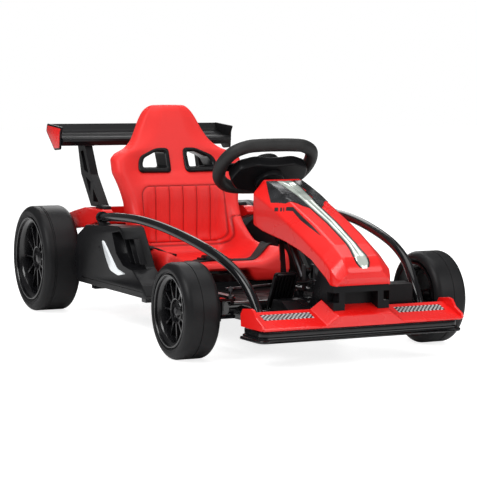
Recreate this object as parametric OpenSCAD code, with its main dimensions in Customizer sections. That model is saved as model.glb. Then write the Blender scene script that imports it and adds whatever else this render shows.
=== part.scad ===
// Battery drift kart for a child: separate named pieces in one shared frame.
// +X is the nose, +Y the driver's left, the floor is z = 0. Sizes in mm.

/* [Stance] */
// Distance between the rear and the front axle
wheelbase = 907; // [880:1:940]
// Nose edge of the front wing, ahead of the front axle
front_overhang = 234; // [226:1:250]
// Distance over the outer faces of the rear wheels
rear_span = 628; // [620:1:680]
// Distance over the outer faces of the front wheels
front_span = 660; // [650:1:700]

/* [Wheels] */
// Outside radius of a rear tyre
rear_tyre_r = 131; // [126:1:134]
// Width of a rear tyre
rear_tyre_w = 94; // [86:1:98]
// Radius of a rear rim at its lip
rear_rim_r = 103; // [98:1:106]
// Outside radius of a front tyre
front_tyre_r = 100; // [97:1:102]
// Width of a front tyre
front_tyre_w = 77; // [70:1:78]
// Radius of a front rim at its lip
front_rim_r = 76; // [72:1:79]
// Rounding of the tyre shoulders
shoulder_r = 15; // [10:1:18]
// Wall of the moulded rims
rim_wall = 3; // [2.5:0.5:4]
// Number of spokes on each rim
spokes = 12; // [8:1:14]
// Width of a spoke
spoke_w = 7; // [5:0.5:9]
// Rear axle shaft radius
rear_shaft_r = 8; // [6:0.5:9]
// Front stub axle radius
stub_r = 6; // [5:0.5:7]
// Radial clearance of a wheel on its axle
axle_play = 0.08; // [0.05:0.01:0.1]

/* [Chassis] */
// Height of the main rails' centre line
rail_z = 72; // [68:1:76]
// Distance of a main rail from the middle
rail_y = 118; // [110:1:125]
// Radius of the main rails
rail_r = 12.5; // [11:0.5:14]
// Wall of the steel tubes
tube_wall = 2; // [1.5:0.5:2.5]
// Half width of the floor tray
floor_half_w = 172; // [165:1:178]
// Thickness of the floor tray
floor_t = 3; // [2.5:0.5:4]
// Outer face of a side pod from the middle
pod_y = 252; // [248:1:256]
// Wall of the moulded body panels
panel_t = 3; // [2.5:0.5:4]
// Radius of the side bars
side_bar_r = 10; // [8:0.5:11]

/* [Steering] */
// Distance of a kingpin from the inner face of its wheel
kingpin_inset = 35; // [33:1:38]
// Radius of the kingpin
kingpin_r = 4; // [3:0.5:5]
// Radial clearance of a kingpin in its knuckle
pin_play = 0.08; // [0.05:0.01:0.1]
// Length of the steering arms from kingpin to tie rod pin
steer_arm = 60; // [55:1:62]
// Radius of the tie rods
tie_rod_r = 4; // [3:0.5:5]
// Radius of the pins that hold the tie rods
tie_pin_r = 3; // [2.5:0.5:3.5]
// Centre of the steering wheel behind the front axle
hand_wheel_back = 221; // [217:1:227]
// Height of the centre of the steering wheel
hand_wheel_z = 381; // [376:1:386]
// Lean of the steering column from upright
column_lean = 39; // [37:1:41]
// Outside width of the steering wheel
hand_wheel_w = 262; // [250:1:270]
// Radius of the steering wheel's grip
grip_r = 13; // [11:0.5:14]
// Radius of the steering column
column_r = 8; // [7:0.5:9]

/* [Body] */
// Height of the top of the seat back
seat_top_z = 514; // [500:1:525]
// Width of the seat over its shoulders
shoulder_w = 344; // [330:1:350]
// Half width of the front wing
wing_half_w = 232; // [225:1:236]
// Half span of the rear wing between its end plates
blade_half_w = 232; // [225:1:238]
// Radius of the mounting holes in the bumper and the rear hitch
mount_hole_r = 5; // [4:0.5:6]

/* [Hidden] */
$fn = 48;
eps = 0.02;
seat_gap = 0.4;
base_x = -(wheelbase + front_overhang - rear_tyre_r) / 2;
drawn_wheelbase = 907;
drawn_overhang = 234;
steel = "DimGray";
black = "Black";
red = "Red";
front_inner_y = front_span / 2 - front_tyre_w;
rear_inner_y = rear_span / 2 - rear_tyre_w;
kingpin_y = front_inner_y - kingpin_inset;
hand_wheel_x = wheelbase - hand_wheel_back;
floor_z = rail_z + rail_r;
floor_top_z = floor_z + floor_t;
steer_z = front_tyre_r + 27;
arm_t = 6;
pitman_x = wheelbase - 56;
bumper_tail_x = wheelbase + front_overhang - 105;
bumper_top_z = 78;

// Everything is drawn from the rear axle and moved to the middle here.
module placed() {
  translate([base_x, 0, 0]) children();
}

// Pieces ahead of the driver are drawn for one wheelbase and go with the front axle.
module with_axle() {
  translate([wheelbase - drawn_wheelbase, 0, 0]) children();
}

// The wing and the bumper also go with the overhang.
module with_overhang() {
  with_axle() translate([front_overhang - drawn_overhang, 0, 0]) children();
}

// The left side is drawn; the right side is its mirror image.
module on_side(side) {
  mirror([0, side < 0 ? 1 : 0, 0]) children();
}

// A shape drawn in X and Z, given a width across the kart.
module across(y0, y1) {
  translate([0, y1, 0]) rotate([90, 0, 0]) linear_extrude(y1 - y0) children();
}

// A straight round bar between two points.
module rod(a, b, r) {
  d = b - a;
  h = norm(d);
  translate(a) rotate([0, acos(d[2] / h), atan2(d[1], d[0])]) cylinder(h = h, r = r);
}

// A straight square bar between two points.
module square_bar(a, b, w) {
  d = b - a;
  h = norm(d);
  translate(a) rotate([0, acos(d[2] / h), atan2(d[1], d[0])]) translate([-w / 2, -w / 2, 0]) cube([w, w, h]);
}

// A polygon whose corners are rounded by discs.
module round_plate(pts, r) {
  hull() {
    for (p = pts) {
      translate(p) circle(r = r, $fn = 32);
    }
  }
}

// Tyres and rims

// Half of a tyre's section: radius along X, width along Y.
module tyre_section(outer_r, inner_r, w) {
  c = shoulder_r;
  h = w / 2;
  difference() {
    union() {
      translate([inner_r, -h]) square([outer_r - c - inner_r, w]);
      translate([inner_r, -h + c]) square([outer_r - inner_r, w - 2 * c]);
      translate([outer_r - c, h - c]) circle(r = c);
      translate([outer_r - c, -h + c]) circle(r = c);
    }
    translate([0, -h - 1]) square([inner_r, w + 2]);
    translate([outer_r - 2, h - c - 4]) square([4, 1.6]);
    translate([outer_r - 2, -h + c + 2.4]) square([4, 1.6]);
  }
}

module tyre(outer_r, rim_r, w) {
  rotate([-90, 0, 0]) rotate_extrude($fn = 72) tyre_section(outer_r, rim_r + seat_gap, w);
}

// The outer face of the wheel is at y = w / 2, its axle runs along Y.
module rim(rim_r, w, bore_r) {
  h = w / 2;
  dish = 9;
  hub_r = bore_r + 9;
  face_y = h - dish;
  rotate([-90, 0, 0]) difference() {
    union() {
      rotate_extrude($fn = 72) {
        translate([rim_r - 5 - rim_wall, -h + 3]) square([rim_wall, w - 4]);
        translate([rim_r - 6, h - 4]) square([6, 4]);
        translate([rim_r - 6, -h + 1]) square([6, 4]);
        translate([rim_r - 5, -h + 5]) square([5, w - 9]);
        translate([bore_r + 2, face_y - 26]) square([rim_r - 6 - bore_r, rim_wall]);
        translate([bore_r, -h + 8]) square([9, w - dish - 8]);
      }
      for (i = [0 : spokes - 1]) {
        rotate([0, 0, i * 360 / spokes]) {
          translate([hub_r - 3, -spoke_w / 2, face_y - 14]) {
            cube([rim_r - 4 - hub_r, spoke_w, 12]);
          }
        }
      }
      translate([0, 0, face_y]) cylinder(h = 5, r1 = hub_r + 4, r2 = hub_r - 2);
      translate([0, 0, face_y - 12]) cylinder(h = 12, r = hub_r + 4);
    }
    translate([0, 0, -h]) cylinder(h = h + face_y - 4, r = bore_r + axle_play);
  }
}

module front_wheel_at(side) {
  placed() translate([wheelbase, side * (front_span - front_tyre_w) / 2, front_tyre_r]) {
    rotate([0, 0, side > 0 ? 0 : 180]) children();
  }
}

module rear_wheel_at(side) {
  placed() translate([0, side * (rear_span - rear_tyre_w) / 2, rear_tyre_r]) {
    rotate([0, 0, side > 0 ? 0 : 180]) children();
  }
}

module front_tyre_left() {
  color(black) front_wheel_at(1) tyre(front_tyre_r, front_rim_r, front_tyre_w);
}

module front_tyre_right() {
  color(black) front_wheel_at(-1) tyre(front_tyre_r, front_rim_r, front_tyre_w);
}

module rear_tyre_left() {
  color(black) rear_wheel_at(1) tyre(rear_tyre_r, rear_rim_r, rear_tyre_w);
}

module rear_tyre_right() {
  color(black) rear_wheel_at(-1) tyre(rear_tyre_r, rear_rim_r, rear_tyre_w);
}

module front_rim_left() {
  color(steel) front_wheel_at(1) rim(front_rim_r, front_tyre_w, stub_r);
}

module front_rim_right() {
  color(steel) front_wheel_at(-1) rim(front_rim_r, front_tyre_w, stub_r);
}

module rear_rim_left() {
  color(steel) rear_wheel_at(1) rim(rear_rim_r, rear_tyre_w, rear_shaft_r);
}

module rear_rim_right() {
  color(steel) rear_wheel_at(-1) rim(rear_rim_r, rear_tyre_w, rear_shaft_r);
}

// Chassis

frame_tail_x = -70;
frame_nose_x = bumper_tail_x - 24;
bearing_y = rear_inner_y - 70;

module frame_bars(r) {
  for (s = [-1, 1]) {
    rod([frame_tail_x, s * rail_y, rail_z], [frame_nose_x, s * rail_y, rail_z], r);
  }
  for (x = [frame_tail_x, 250, 560, pitman_x, frame_nose_x]) {
    rod([x, -rail_y, rail_z], [x, rail_y, rail_z], r);
    for (s = [-1, 1]) {
      translate([x, s * rail_y, rail_z]) sphere(r = r);
    }
  }
}

module outrigger(x, s) {
  translate([x - 12, s > 0 ? rail_y : -pod_y + 14, floor_z - 8]) {
    cube([24, pod_y - rail_y - 14, 8]);
  }
}

module chassis_frame() {
  color(steel) placed() difference() {
    union() {
      frame_bars(rail_r);
      for (x = [250, 560]) {
        outrigger(x, 1);
        outrigger(x, -1);
      }
      for (s = [-1, 1]) {
        translate([0, s * bearing_y, 0]) across(-4, 4) difference() {
          round_plate([[-30, rail_z], [30, rail_z], [0, rear_tyre_r + 12]], 10);
          translate([0, rear_tyre_r]) circle(r = rear_shaft_r + axle_play);
        }
        on_side(s) translate([-16, min(rail_y, bearing_y), rail_z - 6]) {
          cube([32, abs(bearing_y - rail_y), 12]);
        }
      }
      translate([frame_tail_x - 50, -22, rail_z - 4]) cube([50, 44, 8]);
      for (s = [-1, 1]) {
        translate([frame_nose_x, s * 70 - 12, rail_z - 14]) {
          cube([bumper_tail_x - frame_nose_x, 24, 14]);
        }
      }
      translate([pitman_x, 0, rail_z]) cylinder(h = steer_z - 5 - rail_z, r = 11);
    }
    frame_bars(rail_r - tube_wall);
    translate([frame_tail_x - 34, 0, rail_z - 5]) cylinder(h = 10, r = mount_hole_r);
    translate([pitman_x, 0, floor_top_z + 4]) cylinder(h = 60, r = tie_pin_r + pin_play);
  }
}

tray_tail_x = 285;
tray_nose_x = wheelbase + 133;
tray_lip = 22;
seat_base_half_w = 120;
seat_foot_z = 103;

module floor_tray() {
  color(black) placed() difference() {
    union() {
      translate([tray_tail_x, -floor_half_w, floor_z]) {
        cube([tray_nose_x - tray_tail_x, 2 * floor_half_w, floor_t]);
      }
      for (s = [-1, 1]) {
        translate([tray_tail_x, s * (floor_half_w - floor_t / 2) - floor_t / 2, floor_z]) {
          cube([tray_nose_x - tray_tail_x, floor_t, tray_lip]);
        }
      }
      for (i = [0 : 8]) {
        translate([600 + 24 * i, -110, floor_top_z - eps]) cube([9, 220, 4]);
      }
      translate([300, -seat_base_half_w, floor_z]) {
        cube([172, 2 * seat_base_half_w, seat_foot_z - seat_gap - floor_z]);
      }
    }
    translate([wheelbase - 14, -floor_half_w - 1, floor_z - 1]) {
      cube([28, 2 * floor_half_w + 2, tray_lip + 2]);
    }
    translate([pitman_x, 0, floor_z - 1]) cylinder(h = 10, r = 11.4);
  }
}

// Front axle: one steel tube with a fork for the kingpin at each end

fork_gap = 30;
fork_t = 6;
fork_foot = fork_gap / 2 + fork_t + 1.5;

module front_axle_beam() {
  z = front_tyre_r;
  beam_y = kingpin_y - 20;
  color(steel) placed() difference() {
    union() {
      rod([wheelbase, -beam_y, z], [wheelbase, beam_y, z], rail_r);
      for (s = [-1, 1]) {
        for (h = [-fork_gap / 2 - fork_t, fork_gap / 2]) {
          translate([wheelbase, 0, z + h]) linear_extrude(fork_t) {
            round_plate([[0, s * kingpin_y], [0, s * (beam_y - 8)]], 11);
          }
        }
        translate([wheelbase - 11, s * (beam_y - 8) - 4, z - fork_gap / 2 - fork_t]) {
          cube([22, 8, fork_gap + 2 * fork_t]);
        }
        translate([wheelbase, s * rail_y, floor_z]) cylinder(h = z - floor_z, r = 9);
      }
    }
    for (s = [-1, 1]) {
      translate([wheelbase, s * kingpin_y, z - 40]) cylinder(h = 80, r = kingpin_r + pin_play);
    }
  }
}

// The pins of the left and the right tie rod are level with their arms.
function tie_z(s) = s > 0 ? steer_z + arm_t + 1 : steer_z + arm_t + 10;

module knuckle(s) {
  z = front_tyre_r;
  placed() on_side(s) union() {
    translate([wheelbase, kingpin_y, z]) {
      translate([0, 0, -fork_gap / 2 + 0.3]) cylinder(h = fork_gap - 0.6, r = 10);
      translate([0, 0, -fork_foot]) cylinder(h = steer_z - z + fork_foot + arm_t, r = kingpin_r);
      translate([0, 0, -fork_foot - 4]) cylinder(h = 5, r = kingpin_r + 3);
    }
    rod([wheelbase, kingpin_y, z], [wheelbase, front_span / 2 - 16, z], stub_r);
    translate([wheelbase, kingpin_y + 12, z]) rotate([-90, 0, 0]) cylinder(h = 20, r = stub_r + 3);
    translate([0, 0, steer_z]) linear_extrude(arm_t) {
      round_plate([[wheelbase, kingpin_y], [wheelbase + steer_arm, kingpin_y]], 8);
    }
    translate([wheelbase + steer_arm, kingpin_y, steer_z]) {
      cylinder(h = tie_z(s) - steer_z + 8, r = tie_pin_r);
    }
  }
}

module knuckle_left() {
  color(steel) knuckle(1);
}

module knuckle_right() {
  color(steel) knuckle(-1);
}

eye_t = 6;

module tie_rod(s) {
  z = tie_z(s) + eye_t / 2;
  a = [pitman_x + steer_arm, 0, z];
  b = [wheelbase + steer_arm, kingpin_y, z];
  u = (b - a) / norm(b - a);
  placed() on_side(s) difference() {
    union() {
      rod(a + 6 * u, b - 6 * u, tie_rod_r);
      for (p = [a, b]) {
        translate([p[0], p[1], z - eye_t / 2]) cylinder(h = eye_t, r = 9);
      }
    }
    for (p = [a, b]) {
      translate([p[0], p[1], z - eye_t]) cylinder(h = 2 * eye_t, r = tie_pin_r + pin_play);
    }
  }
}

module tie_rod_left() {
  color(steel) tie_rod(1);
}

module tie_rod_right() {
  color(steel) tie_rod(-1);
}

crank_r = 30;
fork_r = 44;
ball_r = 6.5;
ball_play = 1.9;

module pitman_arm() {
  color(steel) placed() translate([pitman_x, 0, 0]) union() {
    translate([0, 0, steer_z - 2]) linear_extrude(arm_t) {
      round_plate([[0, 0], [steer_arm, 0]], 9);
    }
    translate([0, 0, floor_top_z + 6]) cylinder(h = steer_z - floor_top_z, r = tie_pin_r);
    translate([steer_arm, 0, steer_z]) cylinder(h = 26, r = tie_pin_r);
    for (s = [-1, 1]) {
      translate([fork_r - 6, s * (ball_r + ball_play + 2) - 2, steer_z]) cube([12, 4, 54]);
    }
  }
}

// Steering wheel and column

// Places a shape on the steering column's axis, with Z along it upwards.
module on_column() {
  placed() translate([hand_wheel_x, 0, hand_wheel_z]) rotate([0, -column_lean, 0]) children();
}

hand_wheel_h = 196;

module hand_wheel_outline(inset) {
  w = hand_wheel_w / 2 - inset;
  h = hand_wheel_h / 2 - inset;
  c = 34;
  round_plate([[h - c + 8, w * 0.42], [h - c + 8, -w * 0.42], [0, w - c], [0, -w + c],
    [-h + c, w * 0.55], [-h + c, -w * 0.55]], c - 8);
}

module steering_wheel() {
  color(black) on_column() difference() {
    union() {
      for (k = [0 : 2]) {
        h = grip_r - 3 * k;
        translate([0, 0, -h]) linear_extrude(2 * h) difference() {
          hand_wheel_outline(5 - 2.5 * k);
          hand_wheel_outline(2 * grip_r - 5 + 2.5 * k);
        }
      }
      for (s = [-1, 1]) {
        translate([-14, s > 0 ? 30 : -hand_wheel_w / 2 + 16, -7]) cube([28, hand_wheel_w / 2 - 46, 12]);
      }
    }
    translate([0, 0, -20]) cylinder(h = 40, r = 36);
  }
}

// Two lobes, one in front of each spoke.
module dash_outline() {
  polygon([[40, 0], [46, -16], [50, -44], [34, -80], [-4, -86], [-34, -62], [-46, -20], [-46, 20],
    [-34, 62], [-4, 86], [34, 80], [50, 44], [46, 16]]);
}

module steering_hub() {
  color(black) on_column() union() {
    translate([0, 0, -34]) linear_extrude(26.6) dash_outline();
    translate([0, 0, -46]) cylinder(h = 13, r1 = 20, r2 = 30);
    translate([0, 0, -8]) cylinder(h = 7, r = 35.7);
    translate([0, 0, -2 - eps]) cylinder(h = 12, r = 35.7);
    translate([0, 0, 10 - 2 * eps]) cylinder(h = 6, r1 = 35.7, r2 = 26);
  }
}

column_len = 297;

module steering_column() {
  color(steel) on_column() union() {
    translate([0, 0, -column_len]) cylinder(h = column_len - 46.4, r = column_r);
    translate([0, -5, -column_len - 3]) cube([crank_r - 3, 10, 6]);
    translate([crank_r, 0, -column_len]) sphere(r = ball_r);
  }
}

module column_support() {
  color(black) placed() difference() {
    union() {
      for (s = [-1, 1]) {
        with_axle() square_bar([880, s * 46, floor_top_z + 6], [802, s * 18, 237], 11);
        with_axle() translate([868, s * 46 - 12, floor_top_z]) cube([24, 24, 12]);
      }
      support_axis(-200) translate([-14, -27, 0]) cube([28, 54, 30]);
    }
    support_axis(-210) cylinder(h = 50, r = column_r + axle_play);
  }
}

// Puts a shape at a height along the steering column's own axis.
module support_axis(h0) {
  translate([hand_wheel_x, 0, hand_wheel_z]) rotate([0, -column_lean, 0]) {
    translate([0, 0, h0]) children();
  }
}

// Nose

// Top line of the nose in X and Z, from the driver to the tip.
nose_top = [[786, 352], [820, 342], [868, 326], [916, 307], [1000, 275], [1079, 239], [1118, 215], [1134, 196]];
nose_half_w = 74;
nose_top_half_w = 44;

module nose_side() {
  polygon(concat([[772, 262], [772, 340]], nose_top, [[1138, 176], [1128, 158], [1112, 158], [1096, 172],
    [1038, 204], [990, 220], [923, 234], [821, 249]]));
}

module nose_plan(inset) {
  hull() {
    for (s = [-1, 1]) {
      translate([786 + inset, s * (nose_half_w - 14)]) circle(r = 14 - inset, $fn = 32);
      translate([1118, s * (nose_half_w - 26)]) circle(r = 20 - inset, $fn = 32);
    }
  }
}

// The sides lean out from the narrow top to the full width 26 mm below it.
module nose_body(inset) {
  intersection() {
    across(-90, 90) nose_side();
    hull() {
      across(-nose_top_half_w + inset, nose_top_half_w - inset) nose_side();
      translate([0, 0, -26]) across(-nose_half_w, nose_half_w) nose_side();
    }
    translate([0, 0, 100]) linear_extrude(280) nose_plan(inset);
  }
}

module nose_cone() {
  color(red) placed() with_axle() difference() {
    nose_body(0);
    translate([0, 0, -panel_t]) nose_body(panel_t);
    translate([700, -60, 100]) cube([90, 120, 226]);
  }
}

// A strip that lies on the top line of the nose, between two of its points.
module on_nose_top(from, to, y0, y1, t) {
  low = [for (i = [from : to]) nose_top[i] + [0.3, 0.3]];
  high = [for (i = [to : -1 : from]) nose_top[i] + [0.3 + t / 3, 0.3 + t]];
  across(y0, y1) polygon(concat(low, high));
}

module nose_window() {
  color(black) placed() with_axle() {
    for (s = [-1, 1]) {
      on_side(s) on_nose_top(0, 3, 14, nose_top_half_w - 2, 3);
    }
  }
}

module nose_light_strip() {
  color("White") placed() with_axle() on_nose_top(0, 7, -13, 13, 6);
}

pylon_half_w = nose_half_w - 6 - panel_t - 2 * seat_gap;

module nose_pylon() {
  color(black) placed() with_overhang() difference() {
    across(-pylon_half_w, pylon_half_w) polygon([[1000, floor_top_z], [1040, floor_top_z],
      [1058, 96], [1058, 124], [1068, 129.4], [1122, 110.4], [1122, 163], [1100, 178], [1064, 196],
      [1030, 130]]);
    translate([1096, -38, 108]) cube([40, 76, 38]);
    translate([1096, -pylon_half_w - 1, 126]) cube([40, 14, 20]);
    translate([1096, pylon_half_w - 13, 126]) cube([40, 14, 20]);
  }
}

// Front wing and bumper

module wing_section() {
  polygon([[1060, 102], [1068, 110], [1136, 86], [1141, 83], [1138, 79], [1070, 80], [1060, 88]]);
}

// The middle of the wing stands higher and slopes down to the ends on both sides.
module wing_middle(inset) {
  intersection() {
    across(-90, 90) translate([-inset, -inset]) {
      polygon([[1060, 102], [1060, 121], [1068, 129], [1136, 105], [1141, 102], [1141, 83], [1138, 79],
        [1070, 80], [1060, 88]]);
    }
    rotate([90, 0, 90]) translate([0, 0, 1000]) linear_extrude(200) {
      polygon([[-57 + inset, 132], [57 - inset, 132], [86 - inset, 60], [-86 + inset, 60]]);
    }
  }
}

module front_wing() {
  color(red) placed() with_overhang() union() {
    difference() {
      union() {
        across(-wing_half_w + 6, wing_half_w - 6) wing_section();
        wing_middle(0);
      }
      across(-wing_half_w + 12, wing_half_w - 12) translate([0, -panel_t]) wing_section();
      wing_middle(panel_t);
    }
    for (s = [-1, 1]) {
      on_side(s) across(wing_half_w - 6, wing_half_w) {
        polygon([[1044, 79], [1042, 104], [1052, 116], [1100, 118], [1112, 104], [1138, 92], [1141, 83],
          [1136, 79]]);
      }
    }
  }
}

// One tier of the bumper, rounded at its ends.
module bumper_tier(z0, z1, reach, end_y) {
  hull() {
    for (s = [-1, 1]) {
      translate([1130 + reach - 14, s * end_y, z0]) cylinder(h = z1 - z0, r = 14, $fn = 32);
      translate([drawn_bumper_tail_x + 12, s * end_y, z0]) cylinder(h = z1 - z0, r = 12, $fn = 32);
    }
  }
}

drawn_bumper_tail_x = 1036;

module front_bumper() {
  color(black) placed() with_overhang() difference() {
    union() {
      bumper_tier(60, bumper_top_z, 0, 215);
      bumper_tier(52, 60, -8, 211);
      bumper_tier(42, 52, 4, 219);
    }
    for (s = [-1, 1]) {
      translate([1100, s * 185, 30]) cylinder(h = 60, r = mount_hole_r);
    }
  }
}

// Pedals

module pedal_base() {
  color(black) placed() with_axle() across(-124, -68) {
    polygon([[930, floor_top_z], [1046, floor_top_z], [1046, 104], [1012, 122], [976, 122], [962, 99],
      [930, 97]]);
  }
}

module drive_pedal() {
  color(black) placed() with_axle() translate([936, -96, floor_top_z + 11.3]) rotate([0, 28, 0]) union() {
    translate([-4, -24, 0]) cube([6, 48, 84]);
    for (i = [-2 : 2]) {
      translate([-7, 9 * i - 2, 4]) cube([4, 4, 76]);
    }
  }
}

// The other foot rests on a block with two steps.
module foot_rest() {
  color(black) placed() with_axle() across(107, 163) {
    polygon([[984, floor_top_z], [1050, floor_top_z], [1050, 148], [1016, 151], [1010, 126], [988, 122]]);
  }
}

// Side pods with their lamps and bars

module pod_outline() {
  polygon([[170, 92], [190, floor_z], [594, floor_z], [604, 92], [580, 118], [520, 150],
    [455, 236], [440, 240], [300, 232], [270, 214], [200, 150], [172, 120]]);
}

module side_pod(s) {
  placed() on_side(s) difference() {
    union() {
      across(190, pod_y) pod_outline();
      across(200, 214) intake_outline();
      across(226, 246) polygon([[302, 230], [338, 230], [332, 241], [308, 239.5]]);
    }
    across(180, pod_y - panel_t) offset(delta = -panel_t) pod_outline();
    across(pod_y - 30, pod_y + 5) lamp_outline(0.3);
    across(pod_y - 30, pod_y + 5) intake_outline();
  }
}

// The intake is a slanted opening behind the lamp.
module intake_outline() {
  polygon([[404, 222], [452, 229], [560, 146], [512, 146], [470, 152], [430, 176]]);
}

module lamp_outline(gap) {
  offset(delta = gap) {
    polygon([[338, 200], [356, 200], [436, 142], [486, 134], [440, 126], [392, 134], [364, 162]]);
  }
}

module side_pod_left() {
  color(black) side_pod(1);
}

module side_pod_right() {
  color(black) side_pod(-1);
}

module side_lamps() {
  color("White") placed() for (s = [-1, 1]) {
    on_side(s) across(pod_y - 6, pod_y - 1) lamp_outline(0);
  }
}

// A point of a smooth curve through the bends, between bend i and the next one.
function curve_point(p, i, t) = let (
  a = p[max(i - 1, 0)], b = p[i], c = p[i + 1], d = p[min(i + 2, len(p) - 1)]
) 0.5 * (2 * b + (c - a) * t + (2 * a - 5 * b + 4 * c - d) * t * t + (3 * b - a - 3 * c + d) * t * t * t);

function curve(p, steps) = concat(
  [for (i = [0 : len(p) - 2]) for (k = [0 : steps - 1]) curve_point(p, i, k / steps)],
  [p[len(p) - 1]]);

// A round bar swept along the curve: one ring of points square to it at each stop.
module swept_bar(bends, r, steps, sides) {
  path = curve(bends, steps);
  n = len(path);
  rings = [for (i = [0 : n - 1]) let (
    d = path[min(i + 1, n - 1)] - path[max(i - 1, 0)],
    up = cross(d, [0, 1, 0]) / norm(cross(d, [0, 1, 0])),
    out = cross(d, up) / norm(d)
  ) for (k = [0 : sides - 1]) path[i] + r * (cos(k * 360 / sides) * up + sin(k * 360 / sides) * out)];
  walls = [for (i = [0 : n - 2]) for (k = [0 : sides - 1]) let (
    a = i * sides + k, b = i * sides + (k + 1) % sides
  ) each [[a, a + sides, b], [b, a + sides, b + sides]]];
  tail = [for (k = [0 : sides - 1]) k];
  tip = [for (k = [0 : sides - 1]) n * sides - 1 - k];
  polyhedron(points = rings, faces = concat(walls, [tail, tip]));
}

module side_bar(s) {
  y = front_inner_y;
  dx = wheelbase - drawn_wheelbase;
  placed() on_side(s) union() {
    swept_bar([[296, 236, 250], [420, 248, 259], [560, 248, 262], [700 + dx, y - 15, 250],
      [850 + dx, y - 31, 222], [945 + dx, y - 47, 190], [1000 + dx, y - 59, 150], [1034 + dx, y - 64.5, 106],
      [1044 + dx, y - 65, 81]], side_bar_r, 4, 18);
    translate([1044 + dx, y - 65, bumper_top_z]) cylinder(h = 6.5, r = side_bar_r + 3);
  }
}

module side_bar_left() {
  color(black) side_bar(1);
}

module side_bar_right() {
  color(black) side_bar(-1);
}

// Rear end

cowl_half_w = rear_inner_y - 15;
housing_half_w = bearing_y - 12;

module cowl_side() {
  polygon([[-40, 236], [30, 250], [100, 262], [215, 262], [240, 250], [235, 240], [160, 224], [100, 212],
    [0, 200], [-40, 214]]);
}

module rear_cowl() {
  color(red) placed() difference() {
    across(-cowl_half_w, cowl_half_w) cowl_side();
    translate([0, 0, -panel_t]) across(-cowl_half_w + panel_t, cowl_half_w - panel_t) cowl_side();
    translate([118, -cowl_half_w + 27, 150]) cube([200, 2 * cowl_half_w - 54, 200]);
  }
}

module housing_side(inset) {
  offset(delta = -inset) polygon([[-45, floor_z], [112, floor_z], [112, 258.8], [100, 258.8], [30, 246.8],
    [-36, 233.6], [-45, 225]]);
}

module rear_housing() {
  color(black) placed() difference() {
    across(-housing_half_w, housing_half_w) housing_side(0);
    across(-housing_half_w + panel_t, housing_half_w - panel_t) housing_side(panel_t);
    translate([0, -200, rear_tyre_r]) rotate([-90, 0, 0]) cylinder(h = 400, r = rear_shaft_r + 2);
  }
}

module battery_block() {
  color("Gray") placed() translate([16, -75, floor_top_z]) cube([90, 150, 96]);
}

module rear_axle_shaft() {
  end_y = rear_span / 2 - 22;
  color(steel) placed() rod([0, -end_y, rear_tyre_r], [0, end_y, rear_tyre_r], rear_shaft_r);
}

module drive_gearboxes() {
  color(black) placed() for (s = [-1, 1]) {
    on_side(s) difference() {
      union() {
        across(bearing_y + 6, rear_inner_y - 12) round_plate([[0, rear_tyre_r], [70, rear_tyre_r + 14]], 30);
        translate([70, bearing_y - 10, rear_tyre_r + 14]) rotate([-90, 0, 0]) cylinder(h = 20, r = 22);
      }
      translate([0, bearing_y - 50, rear_tyre_r]) rotate([-90, 0, 0]) {
        cylinder(h = 120, r = rear_shaft_r + axle_play);
      }
    }
  }
}

// Rear wing

module strut_side() {
  polygon([[60, 262], [136, 262], [60, 340], [20, 410], [-30, 410], [-8, 340]]);
}

module wing_strut(s) {
  placed() on_side(s) difference() {
    across(bearing_y, bearing_y + 20) strut_side();
    across(bearing_y - 10, bearing_y + 30) polygon([[76, 274], [112, 274], [74, 306]]);
    across(bearing_y - 10, bearing_y + 30) polygon([[56, 288], [58, 322], [24, 334]]);
    across(bearing_y - 10, bearing_y + 30) polygon([[44, 342], [14, 350], [-10, 396], [8, 400]]);
  }
}

module wing_strut_left() {
  color(black) wing_strut(1);
}

module wing_strut_right() {
  color(black) wing_strut(-1);
}

module blade_section() {
  polygon([[-74, 462], [-69, 465], [-58, 448], [-34, 438], [20, 433], [30, 428], [32, 422], [22, 411],
    [-30, 417], [-64, 446]]);
}

module wing_blade() {
  color(black) placed() union() {
    across(-blade_half_w, blade_half_w) blade_section();
    for (s = [-1, 1]) {
      on_side(s) across(bearing_y - 4, bearing_y + 24) polygon([[-34, 410], [24, 410], [24, 416], [-30, 421]]);
    }
  }
}

module wing_end_plates() {
  color(black) placed() for (s = [-1, 1]) {
    on_side(s) across(blade_half_w, blade_half_w + 5) {
      round_plate([[-72, 463], [-79, 446], [-19, 402], [18, 405], [31, 455]], 3);
    }
  }
}

// Seat

module seat_side() {
  t = seat_top_z;
  polygon([[126, t - 14], [134, t - 2], [146, t], [158, t], [168, t - 12], [184, t - 60], [200, t - 104],
    [232, t - 135], [241, t - 160], [252, 306], [266, 270], [288, 238], [318, 210], [350, 188], [412, 182],
    [480, 180], [499, 174], [505, 160], [503, 108], [494, seat_foot_z], [300, seat_foot_z], [250, 132],
    [222, 180], [206, 240], [200, 300], [184, t - 180], [160, t - 126], [140, t - 90], [124, t - 60]]);
}

// Half of the seat's outline seen from the front, from the crown down.
module seat_front() {
  t = seat_top_z;
  w = shoulder_w / 2;
  for (s = [0, 1]) {
    mirror([s, 0]) polygon([[-1, t], [40, t], [55, t - 6], [64, t - 16], [80, t - 45], [104, t - 84],
      [126, t - 104], [w - 12, t - 117], [w, t - 132], [w, t - 156], [w - 12, t - 184], [w - 25, t - 240],
      [w - 21, t - 310], [w - 9, t - 360], [w - 6, seat_foot_z - 1], [-1, seat_foot_z - 1]]);
  }
}

// The trough that the driver leans in, seen along the back: depth and width.
module back_trough() {
  w = shoulder_w / 2;
  polygon([[0, -w + 60], [0, w - 60], [20, w - 40], [56, w - 24], [300, w - 24], [300, -w + 24],
    [56, -w + 24], [20, -w + 40]]);
}

// The trough of the cushion, seen from the front, with raised thigh sides.
module cushion_trough() {
  w = shoulder_w / 2;
  polygon([[-w + 76, 147], [w - 76, 147], [w - 42, 166], [w - 24, 184], [w - 10, 420], [-w + 10, 420],
    [-w + 24, 184], [-w + 42, 166]]);
}

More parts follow.
